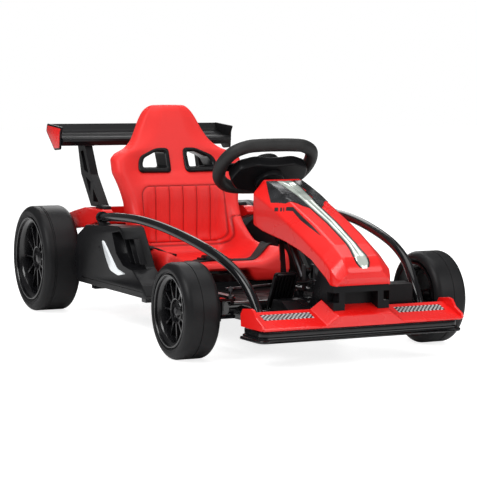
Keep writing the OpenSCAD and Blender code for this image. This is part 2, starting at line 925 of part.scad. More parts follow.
module seat_hollow() {
  intersection() {
    translate([244, 0, 120]) linear_extrude(208) back_trough();
    translate([200, 0, 0]) rotate([90, 0, 90]) linear_extrude(330) cushion_trough();
  }
  translate([243, 0, 317]) rotate([0, -33.5, 0]) linear_extrude(76) back_trough();
  translate([203, 0, 379]) rotate([0, -15.5, 0]) linear_extrude(160) back_trough();
}

module seat() {
  color(red) placed() difference() {
    intersection() {
      across(-180, 180) seat_side();
      translate([90, 0, 0]) rotate([90, 0, 90]) linear_extrude(520) seat_front();
    }
    seat_hollow();
    translate([320, 0, 0]) rotate([90, 0, 90]) linear_extrude(200) {
      polygon([[-76, seat_foot_z - 5], [-45, 131], [45, 131], [76, seat_foot_z - 5]]);
    }
    translate([60, 0, 0]) rotate([90, 0, 90]) linear_extrude(240) harness_slots(0);
  }
}

// The two harness slots, seen from the front.
module harness_slots(inset) {
  i = inset;
  for (s = [0, 1]) {
    mirror([s, 0]) polygon([[24 + i, 354 + i], [24 + i, 404 - i], [51 - i / 3, 404 - i], [95 - i, 385 - i],
      [101 - i, 367], [101 - i, 354 + i]]);
  }
}

module harness_bezels() {
  color(black) placed() intersection() {
    translate([100, 0, 0]) rotate([90, 0, 90]) linear_extrude(150) difference() {
      harness_slots(0.3);
      harness_slots(6);
    }
    across(-120, 120) polygon([[126, 415], [140, 345], [226, 345], [203, 412]]);
  }
}

module lap_belt() {
  color(black) placed() for (s = [-1, 1]) {
    on_side(s) hull() {
      translate([360, 118, 161.6]) cube([26, 3, 3]);
      translate([398, 26, 147.4]) cube([26, 3, 3]);
    }
  }
}

module belt_buckle() {
  color(black) placed() translate([394, -25.7, 147.4]) cube([36, 51.4, 13]);
}

chassis_frame();
floor_tray();
side_pod_left();
side_pod_right();
side_lamps();
side_bar_left();
side_bar_right();
rear_cowl();
rear_housing();
battery_block();
rear_axle_shaft();
drive_gearboxes();
wing_strut_left();
wing_strut_right();
wing_blade();
wing_end_plates();
seat();
harness_bezels();
lap_belt();
belt_buckle();
nose_cone();
nose_window();
nose_light_strip();
nose_pylon();
front_wing();
front_bumper();
column_support();
pedal_base();
drive_pedal();
foot_rest();
front_axle_beam();
steering_wheel();
steering_hub();
steering_column();
pitman_arm();
knuckle_left();
knuckle_right();
tie_rod_left();
tie_rod_right();
front_tyre_left();
front_rim_left();
front_tyre_right();
front_rim_right();
rear_tyre_left();
rear_rim_left();
rear_tyre_right();
rear_rim_right();
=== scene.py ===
import math

import bmesh
import bpy
from mathutils import Matrix, Vector
from mathutils.bvhtree import BVHTree


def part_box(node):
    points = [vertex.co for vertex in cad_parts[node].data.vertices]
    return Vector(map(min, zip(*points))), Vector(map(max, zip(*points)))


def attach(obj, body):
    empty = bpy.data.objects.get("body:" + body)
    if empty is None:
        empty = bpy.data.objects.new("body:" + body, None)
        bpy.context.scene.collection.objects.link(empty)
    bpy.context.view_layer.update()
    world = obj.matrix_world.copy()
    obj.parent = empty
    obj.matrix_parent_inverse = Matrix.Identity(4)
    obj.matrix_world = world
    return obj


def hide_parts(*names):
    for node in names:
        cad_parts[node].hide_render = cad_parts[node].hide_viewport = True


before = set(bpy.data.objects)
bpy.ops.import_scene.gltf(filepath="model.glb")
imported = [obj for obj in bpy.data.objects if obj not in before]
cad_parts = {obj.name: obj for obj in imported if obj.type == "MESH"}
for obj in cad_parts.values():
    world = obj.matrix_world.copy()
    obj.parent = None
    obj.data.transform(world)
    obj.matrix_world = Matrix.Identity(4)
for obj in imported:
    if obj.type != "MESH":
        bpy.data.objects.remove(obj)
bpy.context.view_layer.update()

scene = bpy.context.scene

# Tyres
# Four slick tyres of closed-cell foam, pressed onto the rims. The shoulder is round,
# fine moulding lines run near the outer edge, and the bead steps down to the rim.

axle_low, axle_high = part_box("rear_axle_shaft")
rear_axle_x = (axle_low[0] + axle_high[0]) / 2


def at(x, y, z):
    """A point in millimetres from the middle of the rear axle on the floor."""
    return Vector((x / 1000 + rear_axle_x, y / 1000, z / 1000))


def new_finish(name):
    """A material with its nodes, its links and its shader."""
    material = bpy.data.materials.new(name)
    material.use_nodes = True
    nodes = material.node_tree.nodes
    return material, nodes, material.node_tree.links, nodes["Principled BSDF"]


def mottle(nodes, links, shader, dark, light, scale, rough_low, rough_high):
    """Slow changes of colour and gloss over the surface, as on any moulded part."""
    where = nodes.new("ShaderNodeTexCoord")
    noise = nodes.new("ShaderNodeTexNoise")
    noise.inputs["Scale"].default_value = scale
    noise.inputs["Detail"].default_value = 4.0
    ramp = nodes.new("ShaderNodeValToRGB")
    ramp.color_ramp.elements[0].position = 0.35
    ramp.color_ramp.elements[0].color = (*dark, 1)
    ramp.color_ramp.elements[1].position = 0.65
    ramp.color_ramp.elements[1].color = (*light, 1)
    gloss = nodes.new("ShaderNodeMapRange")
    gloss.inputs["From Min"].default_value = 0.3
    gloss.inputs["From Max"].default_value = 0.7
    gloss.inputs["To Min"].default_value = rough_low
    gloss.inputs["To Max"].default_value = rough_high
    links.new(where.outputs["Object"], noise.inputs["Vector"])
    links.new(noise.outputs["Fac"], ramp.inputs["Fac"])
    links.new(noise.outputs["Fac"], gloss.inputs["Value"])
    links.new(ramp.outputs["Color"], shader.inputs["Base Color"])
    links.new(gloss.outputs["Result"], shader.inputs["Roughness"])


def grain(nodes, links, shader, scale, depth, strength=0.4):
    """A fine surface grain as bump."""
    where = nodes.new("ShaderNodeTexCoord")
    noise = nodes.new("ShaderNodeTexNoise")
    noise.inputs["Scale"].default_value = scale
    noise.inputs["Detail"].default_value = 5.0
    bump = nodes.new("ShaderNodeBump")
    bump.inputs["Strength"].default_value = strength
    bump.inputs["Distance"].default_value = depth
    links.new(where.outputs["Object"], noise.inputs["Vector"])
    links.new(noise.outputs["Fac"], bump.inputs["Height"])
    links.new(bump.outputs["Normal"], shader.inputs["Normal"])


def finish_piece(name, bm, materials, body, replaced=(), sharp=35, even=False):
    """The mesh becomes a shown piece that rides on its body."""
    bmesh.ops.recalc_face_normals(bm, faces=bm.faces)
    mesh = bpy.data.meshes.new(name)
    bm.to_mesh(mesh)
    bm.free()
    for material in materials:
        mesh.materials.append(material)
    piece = bpy.data.objects.new(name, mesh)
    scene.collection.objects.link(piece)
    for face in mesh.polygons:
        face.use_smooth = True
    mesh.set_sharp_from_angle(angle=math.radians(sharp))
    if even:
        weighted = piece.modifiers.new("even shading", "WEIGHTED_NORMAL")
        weighted.keep_sharp = True
        weighted.weight = 80
    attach(piece, body)
    if replaced:
        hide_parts(*replaced)
    return piece


def lathe(bm, loop, steps):
    """Spins a closed loop of (radius, offset along the axle) in metres about Y."""
    verts = [bm.verts.new((r, w, 0)) for r, w in loop]
    edges = [bm.edges.new((v, verts[(i + 1) % len(verts)])) for i, v in enumerate(verts)]
    bmesh.ops.spin(
        bm, geom=verts + edges, cent=(0, 0, 0), axis=(0, 1, 0),
        angle=math.tau, steps=steps, use_merge=True, use_duplicate=False,
    )


def arc(centre, radius, start, end, steps):
    """Points of a round stretch, in degrees."""
    points = []
    for i in range(steps + 1):
        a = math.radians(start + (end - start) * i / steps)
        points.append((centre[0] + radius * math.cos(a), centre[1] + radius * math.sin(a)))
    return points


def place_wheel(bm, centre, outward):
    """Turns a wheel drawn with its face at +Y to its side, and moves it to its axle."""
    bmesh.ops.remove_doubles(bm, verts=bm.verts, dist=1e-6)
    if outward < 0:
        bmesh.ops.rotate(bm, verts=bm.verts, cent=(0, 0, 0), matrix=Matrix.Rotation(math.pi, 3, "Z"))
    bmesh.ops.translate(bm, verts=bm.verts, vec=centre)


tyre_foam, nodes, links, shader = new_finish("tyre foam")
shader.inputs["Specular IOR Level"].default_value = 0.22
mottle(nodes, links, shader, (0.009, 0.009, 0.010), (0.015, 0.015, 0.016), 8.0, 0.36, 0.50)
grain(nodes, links, shader, 500.0, 0.0003)

for place in ("front_left", "front_right", "rear_left", "rear_right"):
    end, side = place.split("_")
    node = end + "_tyre_" + side
    low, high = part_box(node)
    rim_low, rim_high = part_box(end + "_rim_" + side)
    centre = [(low[i] + high[i]) / 2 for i in range(3)]
    outer = (high[0] - low[0]) / 2
    half = (high[1] - low[1]) / 2
    bead = (rim_high[0] - rim_low[0]) / 2 + 0.0005
    shoulder = 0.016
    hub_side = half - 0.0008
    # From the bead outwards: stepped sidewall, shoulder, tread lines, far shoulder.
    section = [(bead, half - 0.012), (bead, half - 0.005), (bead + 0.0012, half - 0.0036)]
    section += [(bead + 0.0045, half - 0.0030), (bead + 0.0052, half - 0.0012), (bead + 0.0075, hub_side)]
    section += [(outer - 0.0200, hub_side), (outer - 0.0196, hub_side - 0.0009)]
    section += [(outer - 0.0184, hub_side - 0.0009), (outer - 0.0180, hub_side)]
    section += arc((outer - shoulder, half - shoulder), shoulder, 86, 6, 9)
    line_at = [half - 0.024, half - 0.028] if end == "rear" else [0.0035]
    for w in line_at:
        section += [(outer - 0.0002, w + 0.0011), (outer - 0.0014, w + 0.0005)]
        section += [(outer - 0.0014, w - 0.0005), (outer - 0.0001, w - 0.0011)]
    section += [(outer, -half * 0.3)]
    section += arc((outer - shoulder, -half + shoulder), shoulder, -6, -86, 9)
    section += [(bead + 0.0075, -hub_side), (bead + 0.0045, -half + 0.0030), (bead, -half + 0.006)]
    bm = bmesh.new()
    lathe(bm, section, 128)
    place_wheel(bm, centre, 1 if side == "left" else -1)
    tyre = finish_piece("tyre_" + place, bm, [tyre_foam], place + "_wheel", (node,), 28)

# Rims
# One-piece moulded rims in glossy black: a wide dished lip, twelve thin spokes that
# grow from the corners of a twelve-sided ring, and a faceted cap over the axle nut.

rim_gloss, nodes, links, shader = new_finish("rim gloss")
shader.inputs["Coat Weight"].default_value = 0.4
shader.inputs["Coat Roughness"].default_value = 0.14
mottle(nodes, links, shader, (0.005, 0.005, 0.006), (0.009, 0.009, 0.010), 14.0, 0.16, 0.26)
grain(nodes, links, shader, 110.0, 0.0001, 0.3)


def merge_into(bm, part):
    """Adds one mesh to another and clears it."""
    mesh = bpy.data.meshes.new("part")
    part.to_mesh(mesh)
    part.free()
    bm.from_mesh(mesh)
    bpy.data.meshes.remove(mesh)


spoke_count = 12
for place in ("front_left", "front_right", "rear_left", "rear_right"):
    end, side = place.split("_")
    node = end + "_rim_" + side
    low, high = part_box(node)
    tyre_low, tyre_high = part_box(end + "_tyre_" + side)
    centre = [(tyre_low[i] + tyre_high[i]) / 2 for i in range(3)]
    lip_r = (high[0] - low[0]) / 2
    half = (tyre_high[1] - tyre_low[1]) / 2
    well_r = lip_r - (0.013 if end == "front" else 0.016)
    face = half - (0.016 if end == "front" else 0.020)
    ring_r = 0.028 if end == "front" else 0.031
    bore_r = 0.0063 if end == "front" else 0.0083
    bm = bmesh.new()
    # Lip, dish and barrel as one wall with a step behind the lip.
    barrel = [(lip_r, half - 0.006), (lip_r, half - 0.0022), (lip_r - 0.0012, half - 0.0008)]
    barrel += [(lip_r - 0.0036, half - 0.0010), (lip_r - 0.0044, half - 0.0024)]
    barrel += arc((lip_r - 0.0040, face + 0.0010), lip_r - 0.0040 - well_r, 88, 176, 7)
    barrel += [(well_r - 0.0015, face - 0.004), (well_r - 0.0030, face - 0.020)]
    barrel += [(well_r - 0.0030, -half + 0.016), (lip_r - 0.010, -half + 0.006), (lip_r - 0.004, -half + 0.0015)]
    barrel += [(lip_r, -half + 0.0015), (lip_r, -half + 0.005), (lip_r - 0.006, -half + 0.010)]
    barrel += [(well_r + 0.0010, -half + 0.018), (well_r + 0.0010, face - 0.010), (lip_r - 0.003, face - 0.002)]
    lathe(bm, barrel, 96)
    # Dark web far behind the spokes, stepped in rings, with the tube over the axle.
    web = [(bore_r + 0.009, face - 0.024), (well_r * 0.62, face - 0.027), (well_r * 0.62, face - 0.030)]
    web += [(well_r * 0.82, face - 0.033), (well_r - 0.0032, face - 0.030), (well_r - 0.0032, face - 0.033)]
    web += [(well_r * 0.80, face - 0.036), (well_r * 0.60, face - 0.033), (bore_r + 0.009, face - 0.029)]
    web += [(bore_r + 0.009, -half + 0.010), (bore_r + 0.0002, -half + 0.009), (bore_r + 0.0002, face - 0.012)]
    web += [(bore_r + 0.009, face - 0.012)]
    lathe(bm, web, 48)
    # The twelve-sided ring, with a bevelled front edge.
    ring = [(ring_r, face - 0.0025), (ring_r - 0.0015, face - 0.0008), (ring_r - 0.0040, face - 0.0014)]
    ring += [(ring_r - 0.0048, face - 0.0035), (ring_r - 0.0048, face - 0.016), (ring_r, face - 0.018)]
    part = bmesh.new()
    lathe(part, ring, spoke_count)
    merge_into(bm, part)
    # Seat of the cap and the faceted cap itself.
    for radius, top, height, sides, taper in (
        (ring_r - 0.0052, face - 0.0075, 0.010, 36, 0.94), (ring_r * 0.56, face - 0.0010, 0.007, 6, 0.55),
    ):
        part = bmesh.new()
        verts = bmesh.ops.create_cone(
            part, cap_ends=True, segments=sides, radius1=radius, radius2=radius * taper, depth=height,
        )["verts"]
        bmesh.ops.rotate(part, verts=verts, cent=(0, 0, 0), matrix=Matrix.Rotation(-math.pi / 2, 3, "X"))
        bmesh.ops.translate(part, verts=verts, vec=(0, top - height / 2, 0))
        bmesh.ops.bevel(
            part, geom=[e for e in part.edges if e.calc_face_angle(0) > 0.5], offset=0.0007,
            offset_type="OFFSET", affect="EDGES", segments=2, profile=0.5, material=-1,
        )
        merge_into(bm, part)
    # Spokes: thin blades with eased front edges, deeper towards the ring.
    part = bmesh.new()
    inner_x = ring_r - 0.0020
    outer_x = well_r + 0.0005
    for x, deep, thick in ((inner_x, 0.015, 0.0036), (outer_x, 0.011, 0.0042)):
        for y, z in ((face - 0.002, -thick / 2), (face - 0.002, thick / 2), (face - deep, thick / 2), (face - deep, -thick / 2)):
            part.verts.new((x, y - (0.0015 if x == outer_x else 0.0), z))
    part.verts.ensure_lookup_table()
    v = part.verts
    part.faces.new([v[0], v[1], v[2], v[3]])
    part.faces.new([v[7], v[6], v[5], v[4]])
    for i in range(4):
        j = (i + 1) % 4
        part.faces.new([v[i], v[4 + i], v[4 + j], v[j]])
    front_edges = [e for e in part.edges if {w.index for w in e.verts} in ({0, 4}, {1, 5})]
    bmesh.ops.bevel(
        part, geom=front_edges, offset=0.0010, offset_type="OFFSET", affect="EDGES",
        segments=2, profile=0.5, material=-1,
    )
    bmesh.ops.spin(
        part, geom=part.verts[:] + part.edges[:] + part.faces[:], cent=(0, 0, 0), axis=(0, 1, 0),
        angle=math.tau * (spoke_count - 1) / spoke_count, steps=spoke_count - 1, use_duplicate=True,
    )
    merge_into(bm, part)
    place_wheel(bm, centre, 1 if side == "left" else -1)
    rim = finish_piece("rim_" + place, bm, [rim_gloss], place + "_wheel", (node,), 30)

# Chassis, axle and steering parts
# Welded round tube, powder coated black, with zinc-plated axles, rods and knuckles.
# Their forms come from the model; here they get their finishes.

powder_coat, nodes, links, shader = new_finish("black powder coat")
mottle(nodes, links, shader, (0.006, 0.006, 0.007), (0.010, 0.010, 0.011), 11.0, 0.10, 0.16)
grain(nodes, links, shader, 420.0, 0.0002)

satin_black, nodes, links, shader = new_finish("satin black moulding")
shader.inputs["Specular IOR Level"].default_value = 0.20
mottle(nodes, links, shader, (0.006, 0.006, 0.007), (0.010, 0.010, 0.011), 7.0, 0.26, 0.38)
grain(nodes, links, shader, 700.0, 0.0002)

zinc, nodes, links, shader = new_finish("zinc plate")
shader.inputs["Metallic"].default_value = 1.0
mottle(nodes, links, shader, (0.07, 0.07, 0.075), (0.11, 0.11, 0.115), 30.0, 0.34, 0.48)
grain(nodes, links, shader, 300.0, 0.0001)

battery_grey, nodes, links, shader = new_finish("grey battery case")
mottle(nodes, links, shader, (0.07, 0.07, 0.075), (0.10, 0.10, 0.105), 12.0, 0.45, 0.6)
grain(nodes, links, shader, 500.0, 0.0002)

for name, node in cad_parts.items():
    finish = satin_black
    if name in ("chassis_frame", "column_support", "front_axle_beam"):
        finish = powder_coat
    if name.startswith(("knuckle", "tie_rod", "pitman", "steering_column", "rear_axle")):
        finish = zinc
    if name == "battery_block":
        finish = battery_grey
    node.data.materials.clear()
    node.data.materials.append(finish)


# Seat
# A one-piece moulded bucket under a matt red padded hide. The skin is swept from
# the crown down the back and over the cushion; seams and channels are pressed in after,
# and the hide is painted darker in them as painted shade, the more the deeper they are pressed.

red_hide, nodes, links, shader = new_finish("red seat hide")
mottle(nodes, links, shader, (0.82, 0.012, 0.010), (0.88, 0.017, 0.013), 5.0, 0.44, 0.56)
grain(nodes, links, shader, 650.0, 0.0003, 0.5)
hide_colour = shader.inputs["Base Color"].links[0].from_socket
# Painted shade: the hide turns a deep red where seams, channels, creases and cushion ripples are pressed in.
seam_shade_mask = nodes.new("ShaderNodeAttribute")
seam_shade_mask.attribute_name = "painted_seam_shade"
seam_shade_mix = nodes.new("ShaderNodeMix")
seam_shade_mix.data_type = "RGBA"
seam_shade_mix.inputs[7].default_value = (0.34, 0.005, 0.005, 1)
links.new(seam_shade_mask.outputs["Fac"], seam_shade_mix.inputs[0])
links.new(hide_colour, seam_shade_mix.inputs[6])
links.new(seam_shade_mix.outputs[2], shader.inputs["Base Color"])


def between(rows, steps_of):
    """Rows of sizes with smooth, never overshooting steps between each pair."""
    last = len(rows) - 1
    slopes = []
    for i in range(last + 1):
        before = [b - a for a, b in zip(rows[max(i - 1, 0)], rows[max(i, 1)])]
        after = [b - a for a, b in zip(rows[min(i, last - 1)], rows[min(i + 1, last)])]
        slopes.append([0 if p * q <= 0 else 2 * p * q / (p + q) for p, q in zip(before, after)])
    fine = []
    for i in range(last):
        steps = steps_of(rows[i], rows[i + 1])
        for k in range(steps):
            t = k / steps
            h = (2 * t**3 - 3 * t**2 + 1, t**3 - 2 * t**2 + t, 3 * t**2 - 2 * t**3, t**3 - t**2)
            fine.append([
                h[0] * a + h[1] * ma + h[2] * b + h[3] * mb
                for a, ma, b, mb in zip(rows[i], slopes[i], rows[i + 1], slopes[i + 1])
            ])
    fine.append(list(rows[last]))
    return fine


def ease_in(low, high, value):
    """0 below low, 1 above high, and a smooth rise between."""
    t = min(max((value - low) / (high - low), 0), 1)
    return t * t * (3 - 2 * t)


# Front middle x z, front edge x z, rear middle x z, rear edge x z, half width, bolster start.
seat_rows = [
    (148, 514, 146, 513.5, 146, 513.5, 144, 513, 40, 0.3), (156, 513, 152, 512, 139, 512, 137, 511, 46, 0.3),
    (163, 509, 157, 507, 131, 508, 129, 506, 53, 0.3), (168, 502, 161, 499, 125, 501, 124, 498, 61, 0.3),
    (173, 488, 166, 484, 121, 486, 123, 482, 71, 0.3), (182, 455, 174, 451, 124, 453, 131, 450, 88, 0.3),
    (189, 430, 186, 426, 130, 429, 142, 426, 104, 0.35), (195, 410, 200, 408, 136, 410, 152, 408, 126, 0.42),
    (199, 396, 214, 396, 140, 396, 163, 394, 156, 0.46), (203, 381, 226, 381, 145, 380, 174, 378, 170, 0.48),
    (213, 358, 236, 356, 153, 356, 184, 354, 171, 0.5), (230, 335, 243, 331, 163, 334, 191, 330, 163, 0.55),
    (242, 315, 252, 306, 175, 314, 196, 306, 155, 0.6), (246, 280, 266, 270, 188, 280, 203, 268, 148, 0.6),
    (246, 240, 288, 238, 196, 238, 210, 226, 147, 0.6), (245, 205, 318, 210, 204, 196, 222, 180, 151, 0.58),
    (250, 175, 350, 188, 222, 152, 250, 134, 158, 0.55), (268, 154, 382, 183, 254, 132, 292, 108, 163, 0.52),
    (305, 147, 412, 182, 300, 129, 340, 103, 165, 0.5), (360, 146, 440, 182, 360, 130, 385, 103, 166, 0.5),
    (430, 147, 466, 182, 430, 131, 435, 103, 166, 0.5), (480, 149, 488, 180, 478, 131, 478, 103, 164, 0.5),
    (496, 149, 499, 174, 493, 131, 493, 104, 161, 0.5), (501, 146, 504, 166, 499, 132, 499, 107, 159, 0.5),
    (504, 142, 506, 154, 502, 134, 502, 113, 158, 0.5), (505, 138, 506, 132, 505, 138, 506, 128, 157, 0.5),
]
rows = between(seat_rows, lambda a, b: max(2, round(math.dist(a[:2], b[:2]) / 2.3)))
front_columns = 150
rear_columns = 48
corner = 0.86
bm = bmesh.new()
rings = []
for fx, fz, ex, ez, rx, rz, sx, sz, width, start in rows:
    arch = ease_in(330, 470, rx)
    ring = []
    side_steps = [(corner * (2 * i / front_columns - 1), 1) for i in range(front_columns + 1)]
    for i in range(1, 14):
        a = math.pi * (0.5 - i / 14)
        side_steps.append((corner + (1 - corner) * math.cos(a) ** 0.8, math.copysign(abs(math.sin(a)) ** 0.8, a)))
    side_steps += [(corner * (1 - 2 * i / rear_columns), -1) for i in range(rear_columns + 1)]
    for i in range(1, 14):
        a = math.pi * (0.5 - i / 14)
        side_steps.append((-corner - (1 - corner) * math.cos(a) ** 0.8, -math.copysign(abs(math.sin(a)) ** 0.8, a)))
    for across, level in side_steps:
        t = abs(across)
        lift = ease_in(start, 0.96, t)
        front = (fx + (ex - fx) * lift, fz + (ez - fz) * lift)
        low = ease_in(0.30, 0.46, t) * arch + lift * (1 - arch)
        back = (rx + (sx - rx) * low, rz + (sz - rz) * low)
        mix = (1 + level) / 2
        ring.append(bm.verts.new(at(
            back[0] + (front[0] - back[0]) * mix, across * width, back[1] + (front[1] - back[1]) * mix,
        )))
    rings.append(ring)
count = len(rings[0])
for one, two in zip(rings, rings[1:]):
    for i in range(count):
        j = (i + 1) % count
        bm.faces.new((one[i], one[j], two[j], two[i]))
bm.faces.new(rings[0])
bm.faces.new(rings[-1])
bmesh.ops.remove_doubles(bm, verts=bm.verts, dist=1e-5)
bmesh.ops.recalc_face_normals(bm, faces=bm.faces)
bm.normal_update()


def pressed(distance, width, depth):
    """Depth of a seam's channel at a distance from its line."""
    return depth * math.exp(-((distance / width) ** 2))


def panel_distance(y, z, half_y, low_z, high_z, radius):
    """Distance to the line of a rectangle with round corners, below 0 inside it."""
    dy = abs(y) - half_y + radius
    dz = abs(z - (low_z + high_z) / 2) - (high_z - low_z) / 2 + radius
    return math.hypot(max(dy, 0), max(dz, 0)) + min(max(dy, dz), 0) - radius


# A mask of painted shade that follows how deep each point is pressed in.
painted_seam_shade = bm.verts.layers.float.new("painted_seam_shade")
for v in bm.verts:
    x = (v.co.x - rear_axle_x) * 1000
    y = v.co.y * 1000
    z = v.co.z * 1000
    push = 0.0
    if v.normal.x > 0.3 and z > 158 and x > 180:
        inside = panel_distance(y, z, 109, 181, 318, 24)
        push += pressed(inside, 1.4, 2.2)
        if inside < 0:
            channel = (y / 36.4) % 1
            across = min(channel, 1 - channel) * 36.4
            push += pressed(across, 1.25, 2.0) * ease_in(0, 3, -inside)
            push -= 1.3 * ease_in(0, 10, -inside) * ease_in(0, 10, across)
        outside = abs(panel_distance(y, z, 117, 172, 600, 30))
        if z < 232:
            push += pressed(outside, 1.7, 2.2)
        elif abs(y) < 128 and z < 243:
            round_in = abs(math.hypot(128 - abs(y), min(z - 232, 11)) - 11)
            push += pressed(round_in, 1.7, 2.2)
        elif abs(y) >= 128 and z < 260:
            push += pressed(abs(z - 243), 1.7, 2.2)
    if v.normal.z > 0.3 and x > 470 and z > 135:
        push += pressed(abs(x - 493), 2.0, 1.4) * (1 - ease_in(70, 110, abs(y)))
    if v.normal.z > 0.2 and 262 < x < 470 and abs(y) < 120:
        push += 1.2 * math.sin(x / 19 + 0.6 * math.sin(y / 31)) * 0.35
    # The press depth becomes the painted shade mask for the hide's colour.
    v[painted_seam_shade] = min(max(push / 1.9, 0), 1)
    v.co -= v.normal * push / 1000
seat = finish_piece("padded_seat", bm, [red_hide], "chassis", ("seat",), 60)

# Harness openings
# Two slots through the back for shoulder belts. The hide and the shell are cut, and a
# thick black moulded frame clips into each slot from the front and the rear.


def rounded(corners, radius, steps):
    """The corners of an outline, rounded, with the same number of points for each."""
    points = []
    for i, (y, z) in enumerate(corners):
        py, pz = corners[i - 1]
        ny, nz = corners[(i + 1) % len(corners)]
        to_p = math.dist((y, z), (py, pz))
        to_n = math.dist((y, z), (ny, nz))
        a = min(radius / to_p, 0.45)
        b = min(radius / to_n, 0.45)
        start = (y + (py - y) * a, z + (pz - z) * a)
        stop = (y + (ny - y) * b, z + (nz - z) * b)
        for k in range(steps + 1):
            t = k / steps
            points.append(tuple(
                (1 - t) ** 2 * s + 2 * t * (1 - t) * c + t * t * e for s, c, e in zip(start, (y, z), stop)
            ))
    return points


def cut_out(piece, cutter):
    """Takes the cutter's volume out of a piece's mesh, and clears the cutter."""
    tool = piece.modifiers.new("cut", "BOOLEAN")
    tool.operation = "DIFFERENCE"
    tool.solver = "EXACT"
    tool.object = cutter
    graph = bpy.context.evaluated_depsgraph_get()
    mesh = bpy.data.meshes.new_from_object(piece.evaluated_get(graph))
    old = piece.data
    piece.modifiers.clear()
    piece.data = mesh
    bpy.data.meshes.remove(old)
    bpy.data.objects.remove(cutter)


slot_outer = rounded([(19, 349), (19, 409), (52, 409), (98, 389), (106, 368), (106, 350)], 12, 6)
slot_inner = rounded([(30, 360), (30, 399), (54, 399), (87, 384), (94, 368), (94, 361)], 7, 6)
slot_middle = [tuple((a + b) / 2 for a, b in zip(p, q)) for p, q in zip(slot_outer, slot_inner)]
for side in (-1, 1):
    bm = bmesh.new()
    face = bm.faces.new([bm.verts.new(at(60, side * y, z)) for y, z in slot_middle])
    grown = bmesh.ops.extrude_face_region(bm, geom=[face])["geom"]
    bmesh.ops.translate(bm, verts=[g for g in grown if isinstance(g, bmesh.types.BMVert)], vec=(0.30, 0, 0))
    bmesh.ops.recalc_face_normals(bm, faces=bm.faces)
    mesh = bpy.data.meshes.new("slot")
    bm.to_mesh(mesh)
    bm.free()
    cutter = bpy.data.objects.new("slot", mesh)
    scene.collection.objects.link(cutter)
    cut_out(seat, cutter)
for face in seat.data.polygons:
    face.use_smooth = True
seat.data.set_sharp_from_angle(angle=math.radians(60))

graph = bpy.context.evaluated_depsgraph_get()
seat_tree = BVHTree.FromObject(seat, graph)


def seat_surface(y, z, ahead):
    """How far forward the seat's front or rear face is at a point of the back."""
    start = at(600 if ahead else -100, y, z)
    hit = seat_tree.ray_cast(start, Vector((-1 if ahead else 1, 0, 0)))[0]
    return (hit.x - rear_axle_x) * 1000


bm = bmesh.new()
frame_profile = [
    (0.02, 1, -1.5), (0.0, 1, 2.0), (0.12, 1, 3.6), (0.45, 1, 4.4), (0.80, 1, 3.4), (1.0, 1, 1.0),
    (1.0, -1, 1.0), (0.80, -1, 3.4), (0.45, -1, 4.4), (0.12, -1, 3.6), (0.0, -1, 2.0), (0.02, -1, -1.5),
]
for side in (-1, 1):
    loops = []
    for inward, facing, height in frame_profile:
        loop = []
        for (oy, oz), (iy, iz) in zip(slot_outer, slot_inner):
            base = seat_surface(side * oy, oz, facing > 0)
            loop.append(bm.verts.new(at(
                base + facing * height, side * (oy + (iy - oy) * inward), oz + (iz - oz) * inward,
            )))
        loops.append(loop)
    for one, two in zip(loops, loops[1:] + loops[:1]):
        for i in range(len(one)):
            j = (i + 1) % len(one)
            bm.faces.new((one[i], one[j], two[j], two[i]))
bezels = finish_piece("harness_frames", bm, [satin_black], "chassis", ("harness_bezels",), 40)

# Lap belt
# Flat black webbing bolted low behind the bolsters. It passes over each bolster, lies
# across the cushion and meets in a push buckle; a slide bar sits on the near strap.

webbing, nodes, links, shader = new_finish("black webbing")
mottle(nodes, links, shader, (0.012, 0.012, 0.012), (0.020, 0.020, 0.020), 60.0, 0.7, 0.85)
where = nodes.new("ShaderNodeTexCoord")
weave = nodes.new("ShaderNodeTexWave")
weave.inputs["Scale"].default_value = 260.0
weave.inputs["Distortion"].default_value = 0.6
bump = nodes.new("ShaderNodeBump")
bump.inputs["Strength"].default_value = 0.5
bump.inputs["Distance"].default_value = 0.0004
links.new(where.outputs["Object"], weave.inputs["Vector"])
links.new(weave.outputs["Fac"], bump.inputs["Height"])
links.new(bump.outputs["Normal"], shader.inputs["Normal"])


def seat_top(x, y):
    """Height of the seat's upper face."""
    hit = seat_tree.ray_cast(at(x, y, 330), Vector((0, 0, -1)))[0]
    return hit.z * 1000 if hit else 110.0


def strap(bm, path, width_dir, half, thick):
    """A flat band along a path of points in mm, as wide as 2 x half along width_dir."""
    loops = []
    wide = Vector(width_dir).normalized()
    points = [Vector(p) for p in path]
    for i, p in enumerate(points):
        ahead = points[min(i + 1, len(points) - 1)] - points[max(i - 1, 0)]
        up = ahead.cross(wide).normalized()
        if up.z < 0:
            up = -up
        side = ahead.normalized().cross(up) * half
        ring = []
        for across, rise in ((-1, 0), (-0.92, 1), (0.92, 1), (1, 0)):
            ring.append(bm.verts.new(at(*(p + side * across + up * (thick * rise)))))
        loops.append(ring)
    for one, two in zip(loops, loops[1:]):
        for i in range(4):
            j = (i + 1) % 4
            bm.faces.new((one[i], one[j], two[j], two[i]))
    bm.faces.new(loops[0])
    bm.faces.new(loops[-1])


bm = bmesh.new()
for side in (-1, 1):
    path = []
    for k in range(61):
        t = k / 60
        y = side * (156 - 138 * t)
        x = 392 + 16 * t + 34 * math.sin(math.pi * t)
        sag = 5.0 * math.sin(t * 8.0) * math.sin(math.pi * t)
        path.append((x, y, seat_top(x, y) + 1.4 + max(sag, 0)))
    over = [(391, side * 168, 118), (391, side * 168.5, 140), (391, side * 167, 160), (391, side * 163, 176)]
    strap(bm, over + path, (1, 0, 0), 17, 2.0)
belt = finish_piece("belt_straps", bm, [webbing], "chassis", ("lap_belt",), 45)


